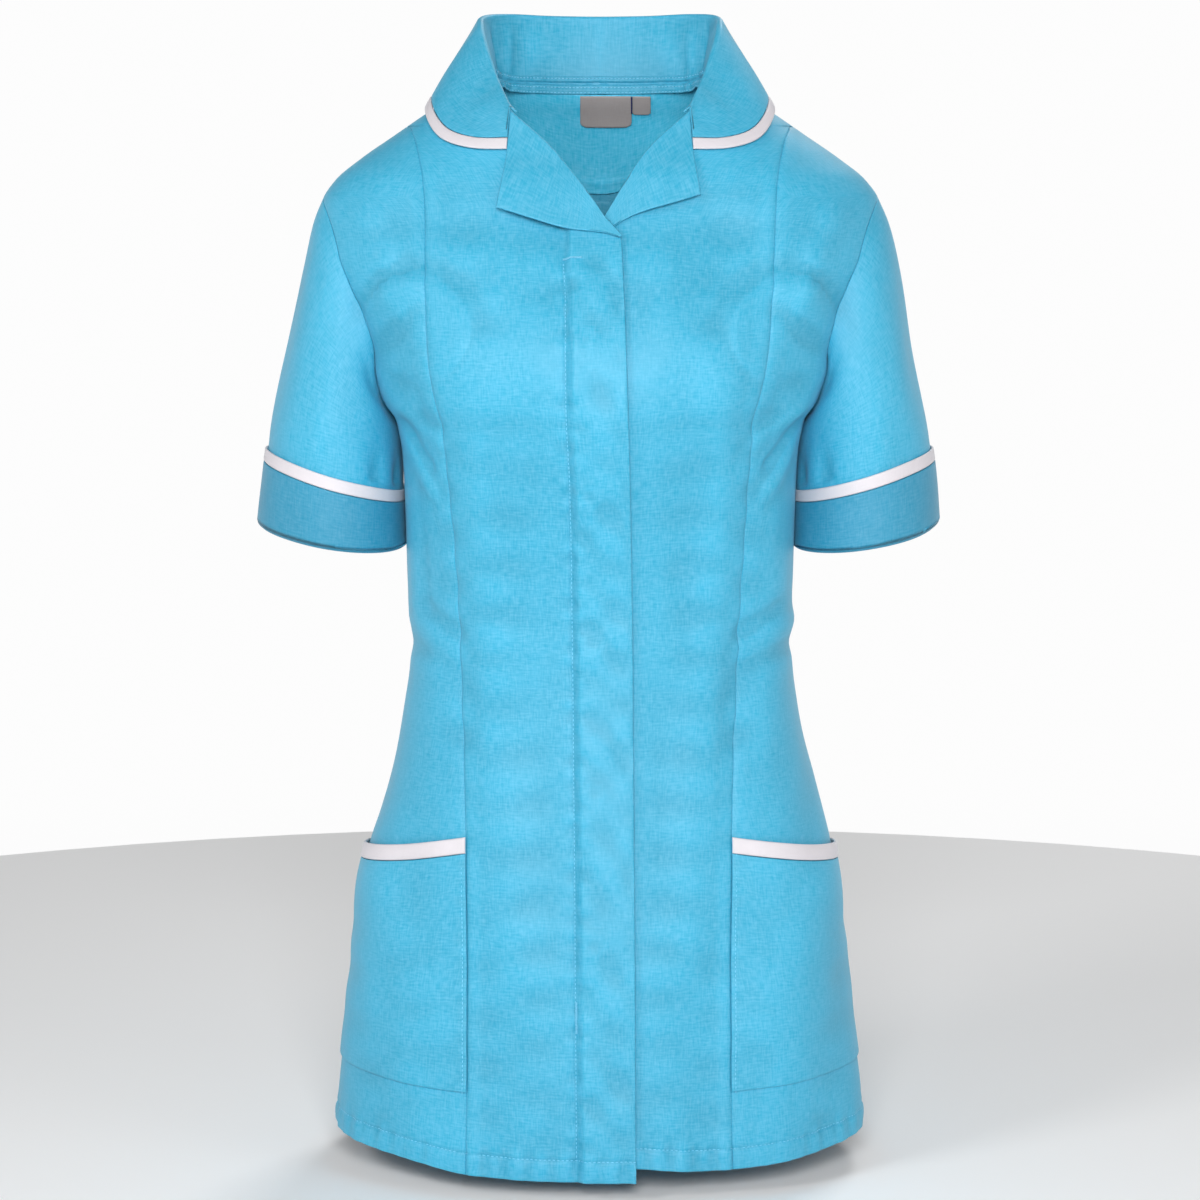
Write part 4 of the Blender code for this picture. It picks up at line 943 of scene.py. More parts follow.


# A darker copy of the sky-blue twill: painted shade on the turned-back cuffs.
shaded_cuff_twill = woven("shaded_cuff_twill", (0.033, 0.245, 0.385))
white_twill = woven("white_twill", (0.590, 0.560, 0.590), rib=0.0006, cloudy=0.02, threads=0.06)
CUFF_ROLL, CUFF_INSIDE, FOLD_STEPS = 0.0028, 0.024, 5
for side, mirror, _ in SIDES:
    rings, inward = sleeve_grid(mirror)
    piping_rows = slice(PIPING_TOP_RING * RING_SHARES, PIPING_END_RING * RING_SHARES + 1)
    end = len(rings) - 3
    name = "sleeve_" + side
    sleeve = shell(name + "_cloth", rings[:end], inward[:end], CLOTH, sky_twill, True, mirror)
    sewn(sleeve, name)
    piping = rings[piping_rows] - inward[piping_rows] * (LAY_GAP + BINDING)
    piping = pull_in(piping, SEAM_GAP / 2, ends="rows")
    name = "cuff_binding_" + side
    bound = shell(name, piping, inward[piping_rows], BINDING, white_twill, True, mirror)
    sewn(bound, "cuff_piping_" + side)
    cuff_rows = slice(PIPING_END_RING * RING_SHARES, len(rings))
    cuff = rings[cuff_rows] - inward[cuff_rows] * (LAY_GAP + DOUBLE)
    cuff[0] += SEAM_GAP / 2 * unit(cuff[1] - cuff[0])
    cuff, facing_in = folded_end(cuff, inward[cuff_rows], CUFF_ROLL, CUFF_INSIDE)
    name = "cuff_" + side
    folded = shell(name + "_cloth", cuff, facing_in, DOUBLE, shaded_cuff_twill, True, mirror)
    sewn(folded, name)

# ------------------------------------------------------------------ the collar
# Two layers of the twill with a stand, a soft roll and a fall that lies on the shoulders,
# its outer edge bound in white.  A narrow tape covers the neck seam inside.
CollarKey = namedtuple("CollarKey", "neck_turn fold_x fold_y fold_z edge_x edge_z")
COLLAR_KEYS = [
    CollarKey(*row)
    for row in (
        (180, 0.0, 0.066, 0.043, 0.0, -0.022),
        (148, 0.034, 0.0655, 0.0435, 0.042, -0.023),
        (128, 0.063, 0.06, 0.0445, 0.078, -0.0255),
        (108, 0.08, 0.042, 0.0425, 0.102, -0.027),
        (90, 0.0815, 0.016, 0.035, 0.1155, -0.024),
        (66, 0.077, -0.006, 0.0185, 0.113, -0.035),
        (52, 0.071, -0.023, 0.0005, 0.1035, -0.0452),
        (38, 0.065, -0.0375, -0.0125, 0.085, -0.0503),
        (28, 0.06, -0.05, -0.0225, 0.0612, -0.0508),
    )
]
# The collar's two halves meet at the centre back, where x changes sign.
START_MIRROR = {"neck_turn": 1, "fold_x": -1, "fold_y": 1, "fold_z": 1, "edge_x": -1, "edge_z": 1}
COLLAR_LIFT, COLLAR_ROLL, STAND_BULGE = 0.0045, 0.0028, 0.0015
LEAN_START, LEAN_END, COLLAR_BULGE = 0.55, 0.90, 0.0018
COLLAR_COLUMNS, STAND_ROWS, ROLL_ROWS, FALL_ROWS, FALL_STEPS = 170, 12, 10, 22, 12
PIPING_WIDTH, PIPING_ROWS = 0.0088, 7
TAPE_WIDTH, TAPE_BELOW, TAPE_END, TAPE_ROWS = 0.0125, 0.0025, 0.47, 24
TAPE_STITCHES = (0.0012, 0.0045, 0.0107)
STAND_DENT_AT, STAND_DENT_WIDTH, STAND_DENT = 0.34, 0.030, 0.0042


def key_curve(name):
    """One column of the collar's keys as a smooth curve from the centre back, at 0, to
    the front end, at 1."""
    values = np.array([getattr(k, name) for k in COLLAR_KEYS], float)
    count = len(values) - 1

    def at(s):
        place = np.clip(np.abs(s), 0, 1) * count
        i = np.clip(place.astype(int), 0, count - 1)
        t = place - i
        before = np.where(i > 0, values[np.maximum(i - 1, 0)], START_MIRROR[name] * values[1])
        after = values[np.minimum(i + 2, count)]
        a, b = values[i], values[i + 1]
        squared = (2 * before - 5 * a + 4 * b - after) * t**2
        cubed = (3 * a - before - 3 * b + after) * t**3
        return 0.5 * (2 * a + (b - before) * t + squared + cubed)

    return at


def neck_point(turn):
    """A point on the neck seam, and its height, at a turn round the neck."""
    low, high = NECKLINE[-1][0], 0.0
    if turn >= 90:
        height = -NECK_DIP * math.cos(math.radians(turn)) ** 2
        return form(turn, height), height
    for _ in range(20):
        height = (low + high) / 2
        if turn_at_x(neckline_x(height), height) < turn:
            low = height
        else:
            high = height
    return form(turn, height), height


def fold_lean(s):
    """How far the fold has turned from standing up, 0, to lying on the chest, 1."""
    return ease((np.abs(s) - LEAN_START) / (LEAN_END - LEAN_START))


def clear_of_chest(point):
    """The point, moved out where the collar would otherwise sink into the front."""
    x, _, height = point
    if height > NECKLINE[1][0] or x > 0.98 * HALF_WIDTH(height):
        return point
    turn = turn_at_x(x, height)
    normal = form_normal(turn, height)
    above = (point - form(turn, height)) @ normal
    return point + normal * max(0.0, 2 * LAY_GAP + DOUBLE + 0.0004 - above)


def collar_section(s):
    """The collar's visible side at s, from -1 to 1 along it: the points up the stand and
    over the fold, and the points down the fall."""
    read = {name: float(key_curve(name)(np.array(s))) for name in CollarKey._fields}
    turn = 180.0 if abs(s) < 1e-9 else read["neck_turn"]
    base, height = neck_point(turn)
    normal = form_normal(turn, height)
    beside, _ = neck_point(turn - 1.0 if turn > 91 else turn + 1.0)
    out_of_edge = unit(np.cross(normal, beside - base))
    out_of_edge *= np.sign(out_of_edge[2])
    lean = float(fold_lean(s))
    roll = COLLAR_ROLL * (1 - 0.5 * lean)
    base = base - normal * CLOTH * (1 - lean)
    base = base + out_of_edge * (SEAM_GAP * 1.5 + DOUBLE * 1.1 * lean)
    fold = np.array([read["fold_x"], read["fold_y"], read["fold_z"]])
    edge_height = read["edge_z"]
    at_front = abs(s) > 0.5
    edge_turn = float(turn_at_x(read["edge_x"], edge_height))
    edge_turn = edge_turn if at_front else 180 - edge_turn
    to_front = abs(s) ** 4 if at_front else 0.0
    lift = COLLAR_LIFT + (2 * LAY_GAP + DOUBLE - COLLAR_LIFT) * to_front
    edge = form(edge_turn, edge_height) + form_normal(edge_turn, edge_height) * lift
    level_out = unit((edge - base) * np.array([1.0, 1.0, 0.0]))
    out = unit(level_out * (1 - lean) - out_of_edge * lean)
    up = np.array([0.0, 0.0, 1.0]) * (1 - lean) + normal * lean
    up = unit(up - out * (up @ out))
    centre = fold - up * roll
    stand_top = centre - out * roll
    dent = STAND_DENT * bell(abs(s) - STAND_DENT_AT, STAND_DENT_WIDTH)
    dent += 0.0012 * np.sin(s * 21 + 1.1) * bell(abs(s) - 0.2, 0.14)
    dent -= 0.0020 * bell(abs(s) - 0.265, 0.022)
    ease_in = -out * (STAND_BULGE * (1 - lean)) + out * dent
    rises = np.linspace(0, 1, STAND_ROWS + 1)
    points = [base + (stand_top - base) * t + ease_in * math.sin(math.pi * t) for t in rises]
    reach = edge - centre
    apart = math.hypot(reach @ out, reach @ up)
    leaves = math.atan2(reach @ up, reach @ out) + math.acos(min(1.0, roll / apart))
    for angle in np.linspace(math.pi, leaves, ROLL_ROWS + 1)[1:]:
        fall_top = centre + roll * (out * math.cos(angle) + up * math.sin(angle))
        points.append(fall_top)
    points.pop()
    bulge = unit(out + up * 0.6) * COLLAR_BULGE * (1 - to_front)
    fall = []
    for t in np.linspace(0, 1, FALL_STEPS + 1):
        point = fall_top + (edge - fall_top) * t + bulge * math.sin(math.pi * t)
        fall.append(clear_of_chest(point) if at_front else point)
    return true_side(np.array(points), s < 0), true_side(np.array(fall), s < 0)


def along_line(line, lengths):
    """Points at the given lengths along a line of points."""
    places = run_lengths(line, 0)
    return np.stack([smooth_curve(places, line[:, i])(lengths) for i in range(3)], axis=-1)


def grid_inward(grid, towards):
    """Directions into the cloth for a grid of points, on the side where towards lies."""
    inward = unit(np.cross(np.gradient(grid, axis=1), np.gradient(grid, axis=0)))
    return inward * np.sign((inward * towards).sum(axis=-1, keepdims=True).mean())


places = np.linspace(-1, 1, COLLAR_COLUMNS + 1)
body, strip = [], []
for s in places:
    upper, fall = collar_section(s)
    length = np.linalg.norm(np.diff(fall, axis=0), axis=1).sum()
    seam = length - PIPING_WIDTH
    body.append(np.concatenate([upper, along_line(fall, np.linspace(0, seam, FALL_ROWS + 1))]))
    strip.append(along_line(fall, np.linspace(seam + SEAM_GAP, length, PIPING_ROWS)))
body = pull_in(np.swapaxes(body, 0, 1), SEAM_GAP / 2)
strip = pull_in(np.swapaxes(strip, 0, 1), SEAM_GAP / 2)
inward = grid_inward(body, (body[0] + body[-1])[None] / 2 - body)
collar = shell("collar_cloth", body, inward, DOUBLE, sky_twill)
sewn(collar, "collar")
last = np.repeat(inward[-1][None], PIPING_ROWS, axis=0)
crown = np.sin(np.linspace(0.25, math.pi - 0.25, PIPING_ROWS))[:, None, None] * 0.0003
strip = strip - last * (BINDING - DOUBLE + crown)
collar_binding = shell("collar_binding", strip, last, BINDING, white_twill)
sewn(collar_binding, "collar_piping")
taped = np.abs(places) <= TAPE_END
base, rise, side = body[0, taped], unit(body[2] - body[0])[taped], inward[2, taped]
below = TAPE_BELOW + 0.0040 * ease(np.abs(places[taped]) / 0.26)[:, None]
down = np.linspace(0, TAPE_WIDTH, TAPE_ROWS + 1)[:, None]
inside = base - side * (2 * SEAM_GAP + TAPE)
tape_rows = np.array([inside + rise * (height - below) for height in down[:, 0]])
tape_side = np.repeat(side[None], len(tape_rows), axis=0)
run = run_lengths(tape_rows, 1)
tape_relief = stitch_dip(down - 0.0075, 0.0020, 0.0012)
tape_relief = tape_relief + puckered(run, down - 0.006, 0.007, 0.0004, 0.009)
for height in TAPE_STITCHES:
    tape_relief = tape_relief + stitch_dip(down - height, 0.0004, 0.0008)
tape_rows = tape_rows - tape_side * tape_relief[..., None]
neck_tape = shell("neck_tape_cloth", tape_rows, tape_side, TAPE, sky_twill)
sewn(neck_tape, "neck_tape")

# ------------------------------------------------------------------ the lapels
# Each front's facing turned out along the roll line and pressed: two layers that round
# over the fold and lie on the chest, standing a little off it at the point.
LapelShape = namedtuple("LapelShape", "side lower roll lifted loft")
LAPEL_OVER = LapelShape(
    side=((0.0598, -0.0240), (0.0621, -0.0520), (0.0682, -0.0903)),
    lower=((0.0680, -0.0903), (0.0245, -0.1026), (-0.0027, -0.1066), (-0.0128, -0.1100)),
    roll=ROLL_OVER,
    lifted=True,
    loft=0.0019,
)
LAPEL_UNDER = LapelShape(
    side=((0.0598, -0.0240), (0.0621, -0.0520), (0.0665, -0.0809)),
    lower=((0.0663, -0.0809), (0.0451, -0.0876), (0.0196, -0.0950), (-0.0105, -0.1165)),
    roll=ROLL_UNDER,
    lifted=False,
    loft=0.0032,
)
LAPEL_FLAT_X, LAPEL_FLAT_TOP, LAPEL_COLUMNS, LAPEL_ROWS = 0.012, -0.040, 44, 26


def along(points, count):
    """count + 1 points spread evenly along a smooth line through the given ones."""
    points = np.asarray(points, float)
    steps = np.concatenate([[0], np.cumsum(np.linalg.norm(np.diff(points, axis=0), axis=1))])
    even = np.linspace(0, steps[-1], count + 1)
    return np.stack([smooth_curve(steps, points[:, i])(even) for i in (0, 1)], axis=-1)


for (side, mirror, _), lapel in zip(SIDES, (LAPEL_OVER, LAPEL_UNDER)):
    roll = along([(x, z) for z, x in lapel.roll], LAPEL_COLUMNS)
    lower = along(lapel.lower, LAPEL_COLUMNS)
    edge = along(lapel.side, LAPEL_ROWS)
    p = np.linspace(0, 1, LAPEL_COLUMNS + 1)[None, :, None]
    q = np.linspace(0, 1, LAPEL_ROWS + 1)[:, None, None]
    flat_side = roll[0] * (1 - q) + lower[0] * q
    plan = roll[None] * (1 - q) + lower[None] * q + (edge[:, None] - flat_side) * (1 - p)
    x, z = plan[..., 0], plan[..., 1]
    turns = turn_at_x(x, z)
    free = ease((x - LAPEL_FLAT_X) / 0.030) * ease((LAPEL_FLAT_TOP - z) / 0.040)
    loft = lapel.loft * free * np.sin(math.pi / 2 * np.minimum(1, 1.6 * q[..., 0]))
    lift = fly_lift_at(z) if lapel.lifted else 0.0
    points, normals = worn(turns, z, lift + 2 * LAY_GAP + DOUBLE + loft, mirror)
    points = pull_in(points, 2 * SEAM_GAP, SEAM_GAP / 2)
    points[0] += SEAM_GAP * unit(points[1] - points[0])
    name = "lapel_" + side
    made = shell(name + "_cloth", points, -normals, DOUBLE, sky_twill, mirror=mirror)
    sewn(made, name)

# ------------------------------------------------------------------ the pockets
# A patch of the twill on each side front, caught in the princess and side seams, with
# the same white binding folded over its mouth, which gapes a little.
MOUTH_AT_SEAM, MOUTH_AT_SIDE = -0.506, -0.524
BOTTOM_AT_SEAM, BOTTOM_AT_SIDE = -0.676, -0.671
MOUTH_BINDING, MOUTH_GAPE, MOUTH_SAG = 0.011, 0.0038, 0.003
# The distance between the gathers of the pocket's edge, their height and their reach.
POCKET_GATHERS = (0.007, 0.0003, 0.013)
for side, mirror, _ in SIDES:
    share = np.linspace(0, 1, SIDE_COLUMNS + 7)[None]
    mouth = MOUTH_AT_SEAM + (MOUTH_AT_SIDE - MOUTH_AT_SEAM) * share
    mouth = mouth - MOUTH_SAG * np.sin(math.pi * share)
    bottom = BOTTOM_AT_SEAM + (BOTTOM_AT_SIDE - BOTTOM_AT_SEAM) * share
    below = mouth - MOUTH_BINDING
    made = []
    for name, low, high, count, thickness, material in (
        ("pocket_", bottom, below, 56, CLOTH, sky_twill),
        ("pocket_binding_", below, mouth, 7, BINDING, white_twill),
    ):
        t = np.linspace(0, 1, count + 1)[:, None]
        heights = low + (high - low) * t
        starts = turn_at_x(princess_x(heights), heights)
        turns = starts + (90.0 - starts) * share
        up = ease((heights - bottom) / (mouth - bottom)) ** 3
        gape = MOUTH_GAPE * up * np.sin(math.pi * share) ** 0.8
        apart = form(turns, heights)[..., 0] - princess_x(heights)
        gathers = puckered(heights, apart, *POCKET_GATHERS) * (thickness == CLOTH)
        rounded = 0.0004 * np.sin(math.pi * t) if thickness == BINDING else 0.0
        out = LAY_GAP + thickness + gape + gathers + rounded
        points, normals = worn(turns, heights, out, mirror)
        points = pull_in(pull_in(points, -0.0004), SEAM_GAP / 2, ends="rows")
        piece = shell(name + side + "_cloth", points, -normals, thickness, material, mirror=mirror)
        sewn(piece, name + side)
        made.append((piece, points))
    (pocket, points), (binding, _) = made

# ------------------------------------------------------------------ inside the neck
# A curved facing of the twill backs the neck, drawn in a paler copy of the twill as painted light
# inside the neck, and two plain woven labels of warm grey satin hang from the neck tape, with a navy
# thread between them.
FACING_DEPTH, FACING_HALF_WIDTH, FACING_CURVE, FACING_BELOW = 0.079, 0.068, 10.0, 0.0016
FACING_COLUMNS, FACING_ROWS = 56, 34
LabelShape = namedtuple("LabelShape", "name left right top bottom corner")
LABELS = (
    LabelShape("label", -0.0140, 0.0224, -0.0104, -0.0312, 0.0035),
    LabelShape("size_tab", 0.0229, 0.0358, -0.0104, -0.0222, 0.0015),
)
LABEL_DEPTH = 2 * CLOTH + 3.5 * LAY_GAP


def back_points(x, z, depth):
    """Points and inward directions on the back, depth inside its outer face."""
    turns = 180 - turn_at_x(x, z)
    points, normals = worn(turns, z, -depth)
    return points, -normals


x = np.linspace(-FACING_HALF_WIDTH, FACING_HALF_WIDTH, FACING_COLUMNS + 1)[None]
top = -NECK_DIP * (1 - (x / NECKLINE[0][1]) ** 2) - FACING_BELOW
bottom = -FACING_DEPTH + FACING_CURVE * x**2
t = np.linspace(0, 1, FACING_ROWS + 1)[:, None]
z = top + (bottom - top) * t
x = np.repeat(x, FACING_ROWS + 1, axis=0)
away = z - bottom - 0.008
gathers = puckered(x, away, 0.005, 0.00030, 0.009)
depth = CLOTH + 2 * LAY_GAP - 0.0001 - stitch_dip(away) + np.abs(gathers)
points, inward = back_points(x, z, depth)
# A paler copy of the sky-blue twill: painted light on the facing inside the neck, which the lamps
# leave darker.
lit_facing_twill = woven("lit_facing_twill", (0.080, 0.560, 0.820))
facing = shell("back_facing_cloth", points, inward, CLOTH, lit_facing_twill)
sewn(facing, "back_facing")


def satin(name, colour):
    """Woven label satin: fine close ribs across and a low gloss."""
    return woven(
        name, colour, rib=0.0005, roughness=0.5, cloudy=0.03, threads=0.12, grain=0.10, gloss=0.5
    )


grey_satin = satin("grey_satin", (0.330, 0.305, 0.300))
for label in LABELS:
    across, down = np.linspace(label.left, label.right, 19), np.linspace(label.top, label.bottom, 15)
    x, z = np.meshgrid(across, down)
    low = np.clip((label.bottom + label.corner - z) / label.corner, 0, 1)
    inset = label.corner * (1 - np.sqrt(1 - low**2))
    middle, half = (label.left + label.right) / 2, (label.right - label.left) / 2
    x = middle + (x - middle) * (half - inset) / half
    bow = np.sin(math.pi * (x - label.left) / (2 * half)) * (label.top - z) * 0.03
    points, inward = back_points(x, z, LABEL_DEPTH + bow)
    piece = shell(label.name + "_cloth", points, inward, TAPE * 0.8, grey_satin)
    sewn(piece, label.name)
navy_thread = satin("navy_thread", (0.012, 0.018, 0.090))
x, z = np.meshgrid(np.linspace(0.0219, 0.0229, 4), np.linspace(-0.0104, -0.0212, 12))
points, inward = back_points(x, z, LABEL_DEPTH + 0.0009)
piece = shell("label_thread", points, inward, 0.0006, navy_thread)
sewn(piece)

# ------------------------------------------------------------------ stitching
# Pale blue polyester thread in lockstitch: along the fly and the hem, down the pockets,
# round the neck tape and the facing, with a bar tack at each end of the fly.


def thread_material():
    made, tree, surface, where = new_material("pale_thread")
    twist = noise(tree, where, 2500.0, 2.0)
    coloured(tree, surface, (0.150, 0.520, 0.730), between(tree, twist, 0.85, 1.1))
    bumped(tree, surface, twist, 0.5, 0.0001)
    constants(surface, Roughness=0.45, Sheen_Weight=0.2)
    return made


pale_thread = thread_material()


def stitch_tree():
    """Stitches laid end to end along the lines of a mesh."""
    tree = bpy.data.node_groups.new("lockstitch", "GeometryNodeTree")
    face = tree.interface
    face.new_socket("Geometry", in_out="INPUT", socket_type="NodeSocketGeometry")
    for name, value in (("Pitch", 0.003), ("Stitch Length", 0.0021), ("Thread Radius", 0.0003)):
        face.new_socket(name, in_out="INPUT", socket_type="NodeSocketFloat").default_value = value
    face.new_socket("Seed", in_out="INPUT", socket_type="NodeSocketInt").default_value = 3
    face.new_socket("Material", in_out="INPUT", socket_type="NodeSocketMaterial")
    face.new_socket("Geometry", in_out="OUTPUT", socket_type="NodeSocketGeometry")
    given = add(tree, "NodeGroupInput")
    curve = add(tree, "GeometryNodeMeshToCurve", {"Mesh": given.outputs["Geometry"]})
    spaced = {"Curve": curve.outputs[0], "Length": given.outputs["Pitch"]}
    spots = add(tree, "GeometryNodeCurveToPoints", spaced, mode="LENGTH")
    stitch = add(tree, "GeometryNodeMeshUVSphere", {"Segments": 7, "Rings": 5, "Radius": 0.5})
    uneven = add(tree, "FunctionNodeRandomValue", {2: 0.88, 3: 1.12, "Seed": given.outputs["Seed"]})
    long = maths(tree, "MULTIPLY", given.outputs["Stitch Length"], uneven.outputs[1])
    wide = maths(tree, "MULTIPLY", given.outputs["Thread Radius"], 2.0)
    size = add(tree, "ShaderNodeCombineXYZ", {0: wide, 1: wide, 2: long})
    laid = {"Points": spots.outputs["Points"], "Instance": stitch.outputs["Mesh"]}
    laid |= {"Rotation": spots.outputs["Rotation"], "Scale": size.outputs[0]}
    placed = add(tree, "GeometryNodeInstanceOnPoints", laid)
    real = add(tree, "GeometryNodeRealizeInstances", {0: placed.outputs[0]})
    dressed = {"Geometry": real.outputs[0], "Material": given.outputs["Material"]}
    done = add(tree, "GeometryNodeSetMaterial", dressed)
    tree.links.new(done.outputs[0], add(tree, "NodeGroupOutput").inputs[0])
    return tree


lockstitch = stitch_tree()


def stitched(name, lines, pitch=0.0030, length=0.0019, radius=0.00026, seed=3):
    """A piece of thread that runs in stitches along lines of points."""
    points, edges = [], []
    for line in lines:
        edges += [(len(points) + k, len(points) + k + 1) for k in range(len(line) - 1)]
        points += [tuple(p) for p in line]
    path = bpy.data.meshes.new(name + "_path")
    path.from_pydata(points, edges, [])
    carrier = new_object(name + "_path", path)
    modifier = carrier.modifiers.new("lockstitch", "NODES")
    modifier.node_group = lockstitch
    wanted = {"Pitch": pitch, "Stitch Length": length, "Thread Radius": radius, "Seed": seed}
    wanted["Material"] = pale_thread
    for socket in lockstitch.interface.items_tree:
        if socket.in_out == "INPUT" and socket.name in wanted:
            modifier[socket.identifier] = wanted[socket.name]
    carrier.update_tag()
    evaluated = carrier.evaluated_get(bpy.context.evaluated_depsgraph_get())
    mesh = bpy.data.meshes.new_from_object(evaluated)
    mesh.name = name
    mesh.shade_smooth()
    bpy.data.objects.remove(carrier)
    sewn(new_object(name, mesh))


THREAD_OUT = 0.00008
# How far the three rows of a bar tack lie from its middle, and the pocket's stitches from
# the princess seam.
TACK_ROWS, BESIDE_SEAM = (-0.00045, 0.0, 0.00045), 0.0022


def body_line(x, z, mirror, out=0.0):
    """A line of points on the front, x from its own side."""
    x, z = np.broadcast_arrays(np.asarray(x, float), np.asarray(z, float))
    points, _ = worn(turn_at_x(x, z), z, out + THREAD_OUT, mirror)
    return true_side(points, mirror)


def hem_stitches(turns, mirror, hem):
    """A line of points on the hem's stitching, at turns from the centre front."""
    turns = turns[None]
    heights = hemmed(turns, np.full(turns.shape, HEM_STITCHED), hem)
    base = form(turns, heights)
    out = hem_relief(base, hem) + THREAD_OUT
    if mirror and hem is HEM_OVER:
        out = out + fly_lift(base[..., 0], heights) + fly_relief(-base[..., 0], heights)
    return true_side(worn(turns, heights, out, mirror)[0][0], mirror)


z = np.linspace(-0.125, -0.716, 240)
x = fly_stitch_x(z)
stitched("fly_stitching", [body_line(x, z, True, fly_relief(-x, z))])
x, z = np.linspace(0.0125, 0.0240, 12), np.full(12, -0.1217)
tacks = [body_line(x, z + d, True, fly_lift(x, z) + 0.0002) for d in TACK_ROWS]
z = np.linspace(-0.613, -0.633, 16)
x = fly_stitch_x(z) - 0.0006
tacks += [body_line(x + d, z, True, 0.0003) for d in TACK_ROWS]
stitched("bar_tacks", tacks, 0.0010, 0.0012, 0.00026)

for side, mirror, hem in SIDES:
    edge = float(fly_edge_x(HEM_STITCHED))
    start = 0.001 - edge if mirror else edge - UNDERLAP + 0.002
    x = np.linspace(start, princess_x(HEM_STITCHED), 60)
    outer = np.linspace(princess_turn(HEM_STITCHED), 90, 60)[1:]
    turns = np.concatenate([turn_at_x(x, HEM_STITCHED), outer])
    hems = [hem_stitches(turns, mirror, hem)]
    hems.append(hem_stitches(np.linspace(90, 180, 90), mirror, HEM_BACK))
    stitched("hem_stitching_" + side, hems, seed=5)
    z = np.linspace(MOUTH_AT_SEAM - MOUTH_BINDING - 0.001, BOTTOM_AT_SEAM, 70)
    out = LAY_GAP + CLOTH + puckered(z, BESIDE_SEAM, *POCKET_GATHERS)
    down = body_line(princess_x(z) + BESIDE_SEAM, z, mirror, out)
    stitched("pocket_stitching_" + side, [down], seed=7)

neck = []
for height in TAPE_STITCHES:
    index = int(round(height / TAPE_WIDTH * TAPE_ROWS))
    neck.append(tape_rows[index] - tape_side[index] * THREAD_OUT)
x = np.linspace(-FACING_HALF_WIDTH + 0.003, FACING_HALF_WIDTH - 0.003, 120)
for above in (0.0072, 0.0088):
    z = -FACING_DEPTH + FACING_CURVE * x**2 + above
    neck.append(back_points(x, z, 2 * CLOTH + 2 * LAY_GAP + THREAD_OUT)[0])
stitched("neck_stitching", neck, 0.0026, 0.0018, 0.00034, 11)

# ------------------------------------------------------------------ press studs
# Five closed studs of nickelled brass between the fronts: a shallow cap with a rolled
# rim, riveted to the front beneath.


def stud_material():
    made, tree, surface, where = new_material("nickel")
    wear = noise(tree, where, 900.0, 4.0)
    tree.links.new(between(tree, wear, 0.18, 0.38), surface.inputs["Roughness"])
    coloured(tree, surface, (0.560, 0.570, 0.590), between(tree, wear, 0.85, 1.05))
    bumped(tree, surface, wear, 0.2, 0.0001)
    constants(surface, Metallic=1.0)
    return made


nickel = stud_material()
STUD_SIDES = 36
# Radius and height of the stud's profile, as shares of its radius and thickness.
STUD_PROFILE = (
    (0.0, 0.0), (0.92, 0.0), (1.0, 0.2), (1.0, 0.45), (0.9, 0.62), (0.8, 0.55), (0.72, 0.6),
    (0.62, 0.95), (0.5, 1.0), (0.3, 0.96), (0.0, 0.94),
)
around = np.linspace(0, 2 * math.pi, STUD_SIDES + 1)[:-1]
for index in range(STUD_COUNT):
    height = STUD_FIRST - index * STUD_PITCH
    turn = turn_at_x(STUD_FROM_STITCHING - fly_stitch_x(height), height)
    normal = Vector(form_normal(turn, height))
    centre, _ = worn(np.array([turn]), np.array([height]), LAY_GAP)
    upright = np.array(normal.to_track_quat("Z", "Y").to_matrix())
    points, faces = [], []
    for i, (radius, rise) in enumerate(STUD_PROFILE):
        ring = np.full((STUD_SIDES, 3), rise * STUD_THICKNESS)
        ring[:, 0] = np.cos(around) * radius * STUD_RADIUS
        ring[:, 1] = np.sin(around) * radius * STUD_RADIUS
        points += (centre[0] + ring @ upright.T).tolist()
        if i:
            a, b = (i - 1) * STUD_SIDES, i * STUD_SIDES
            turned = [(k, (k + 1) % STUD_SIDES) for k in range(STUD_SIDES)]
            faces += [(a + k, a + n, b + n, b + k) for k, n in turned]
    mesh = bpy.data.meshes.new(f"stud_{index + 1}")
    mesh.from_pydata(points, [], faces)
    mesh.shade_smooth()
    mesh.materials.append(nickel)
    sewn(new_object(mesh.name, mesh), f"press_stud_{index + 1}")

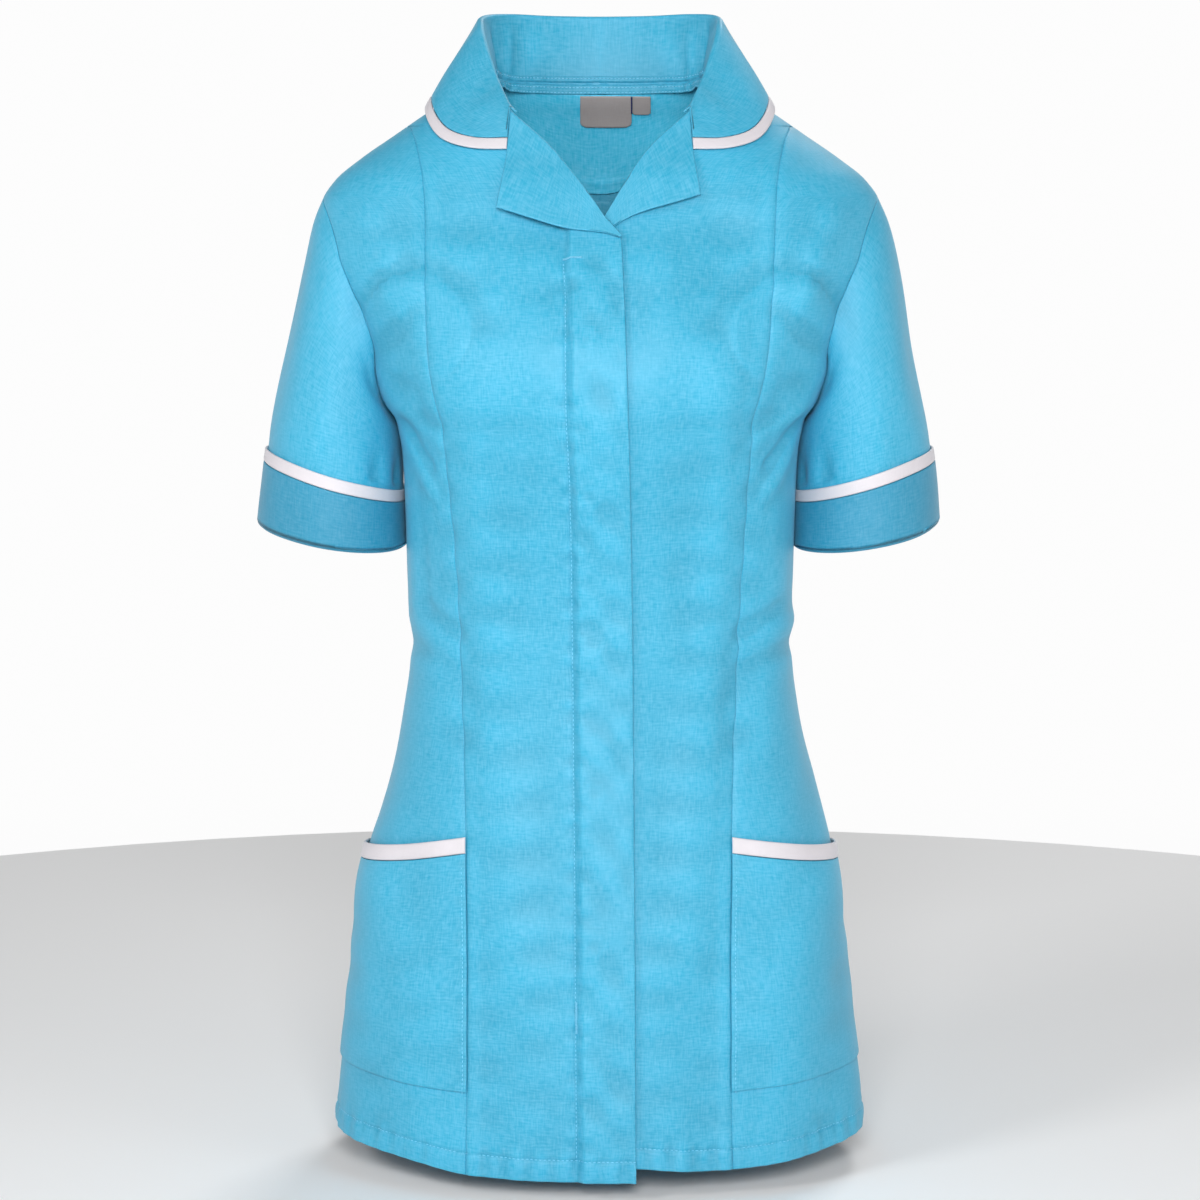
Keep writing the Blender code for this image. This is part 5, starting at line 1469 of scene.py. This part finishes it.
# ------------------------------------------------------------------ camera and studio
# The camera stands level with the upper chest and looks a little down.  The floor and
# the light are plain and pale.
CAMERA_PLACE, CAMERA_DOWN, LENS = (0.0, -2.4, -0.0767), 6.674, 105.12
camera = new_object("camera", bpy.data.cameras.new("camera"))
camera.location = CAMERA_PLACE
camera.rotation_euler = (math.radians(90 - CAMERA_DOWN), 0.0, 0.0)
camera.data.lens = LENS
bpy.context.scene.camera = camera

floor_mesh = bpy.data.meshes.new("floor")
floor_level, floor_radius, floor_sides = cad_box[0].z - 0.012, 1.25, 96
rim = [2 * math.pi * k / floor_sides for k in range(floor_sides)]
rim = [(floor_radius * math.cos(a), floor_radius * math.sin(a), floor_level) for a in rim]
floor_mesh.from_pydata(rim, [], [tuple(range(floor_sides))])
paper, _, surface, _ = new_material("pale_floor")
constants(surface, Base_Color=(0.93, 0.93, 0.93, 1.0), Roughness=0.9)
floor_mesh.materials.append(paper)
new_object("floor", floor_mesh)

world = bpy.data.worlds.new("studio")
world.use_nodes = True
sky = world.node_tree
heading = add(sky, "ShaderNodeTexCoord").outputs["Generated"]
steep = maths(sky, "ABSOLUTE", add(sky, "ShaderNodeSeparateXYZ", {0: heading}).outputs[2])
dimmed = between(sky, steep, 0.98, 0.14, 0.17, 0.45, "SMOOTHSTEP")
sky.links.new(dimmed, sky.nodes["Background"].inputs["Strength"])
sky.nodes["Background"].inputs["Color"].default_value = (1.0, 1.0, 1.0, 1.0)
bpy.context.scene.world = world
Lamp = namedtuple("Lamp", "name place size power")
LAMPS = (
    Lamp("key", (-2.1, -1.8, 1.35), 0.8, 24.0),
    Lamp("front", (0.0, -2.4, 0.45), 0.8, 48.0),
    Lamp("fill", (2.0, -1.6, 0.5), 1.0, 6.0),
    Lamp("back", (1.0, 2.2, 2.0), 1.0, 34.0),
)
for lamp in LAMPS:
    data = bpy.data.lights.new(lamp.name, "AREA")
    data.energy, data.size = lamp.power, lamp.size
    made = new_object(lamp.name, data)
    made.location = lamp.place
    aim = Vector((0.0, 0.0, -0.35)) - Vector(lamp.place)
    made.rotation_euler = aim.to_track_quat("-Z", "Y").to_euler()
bpy.context.scene.view_settings.view_transform = "Standard"
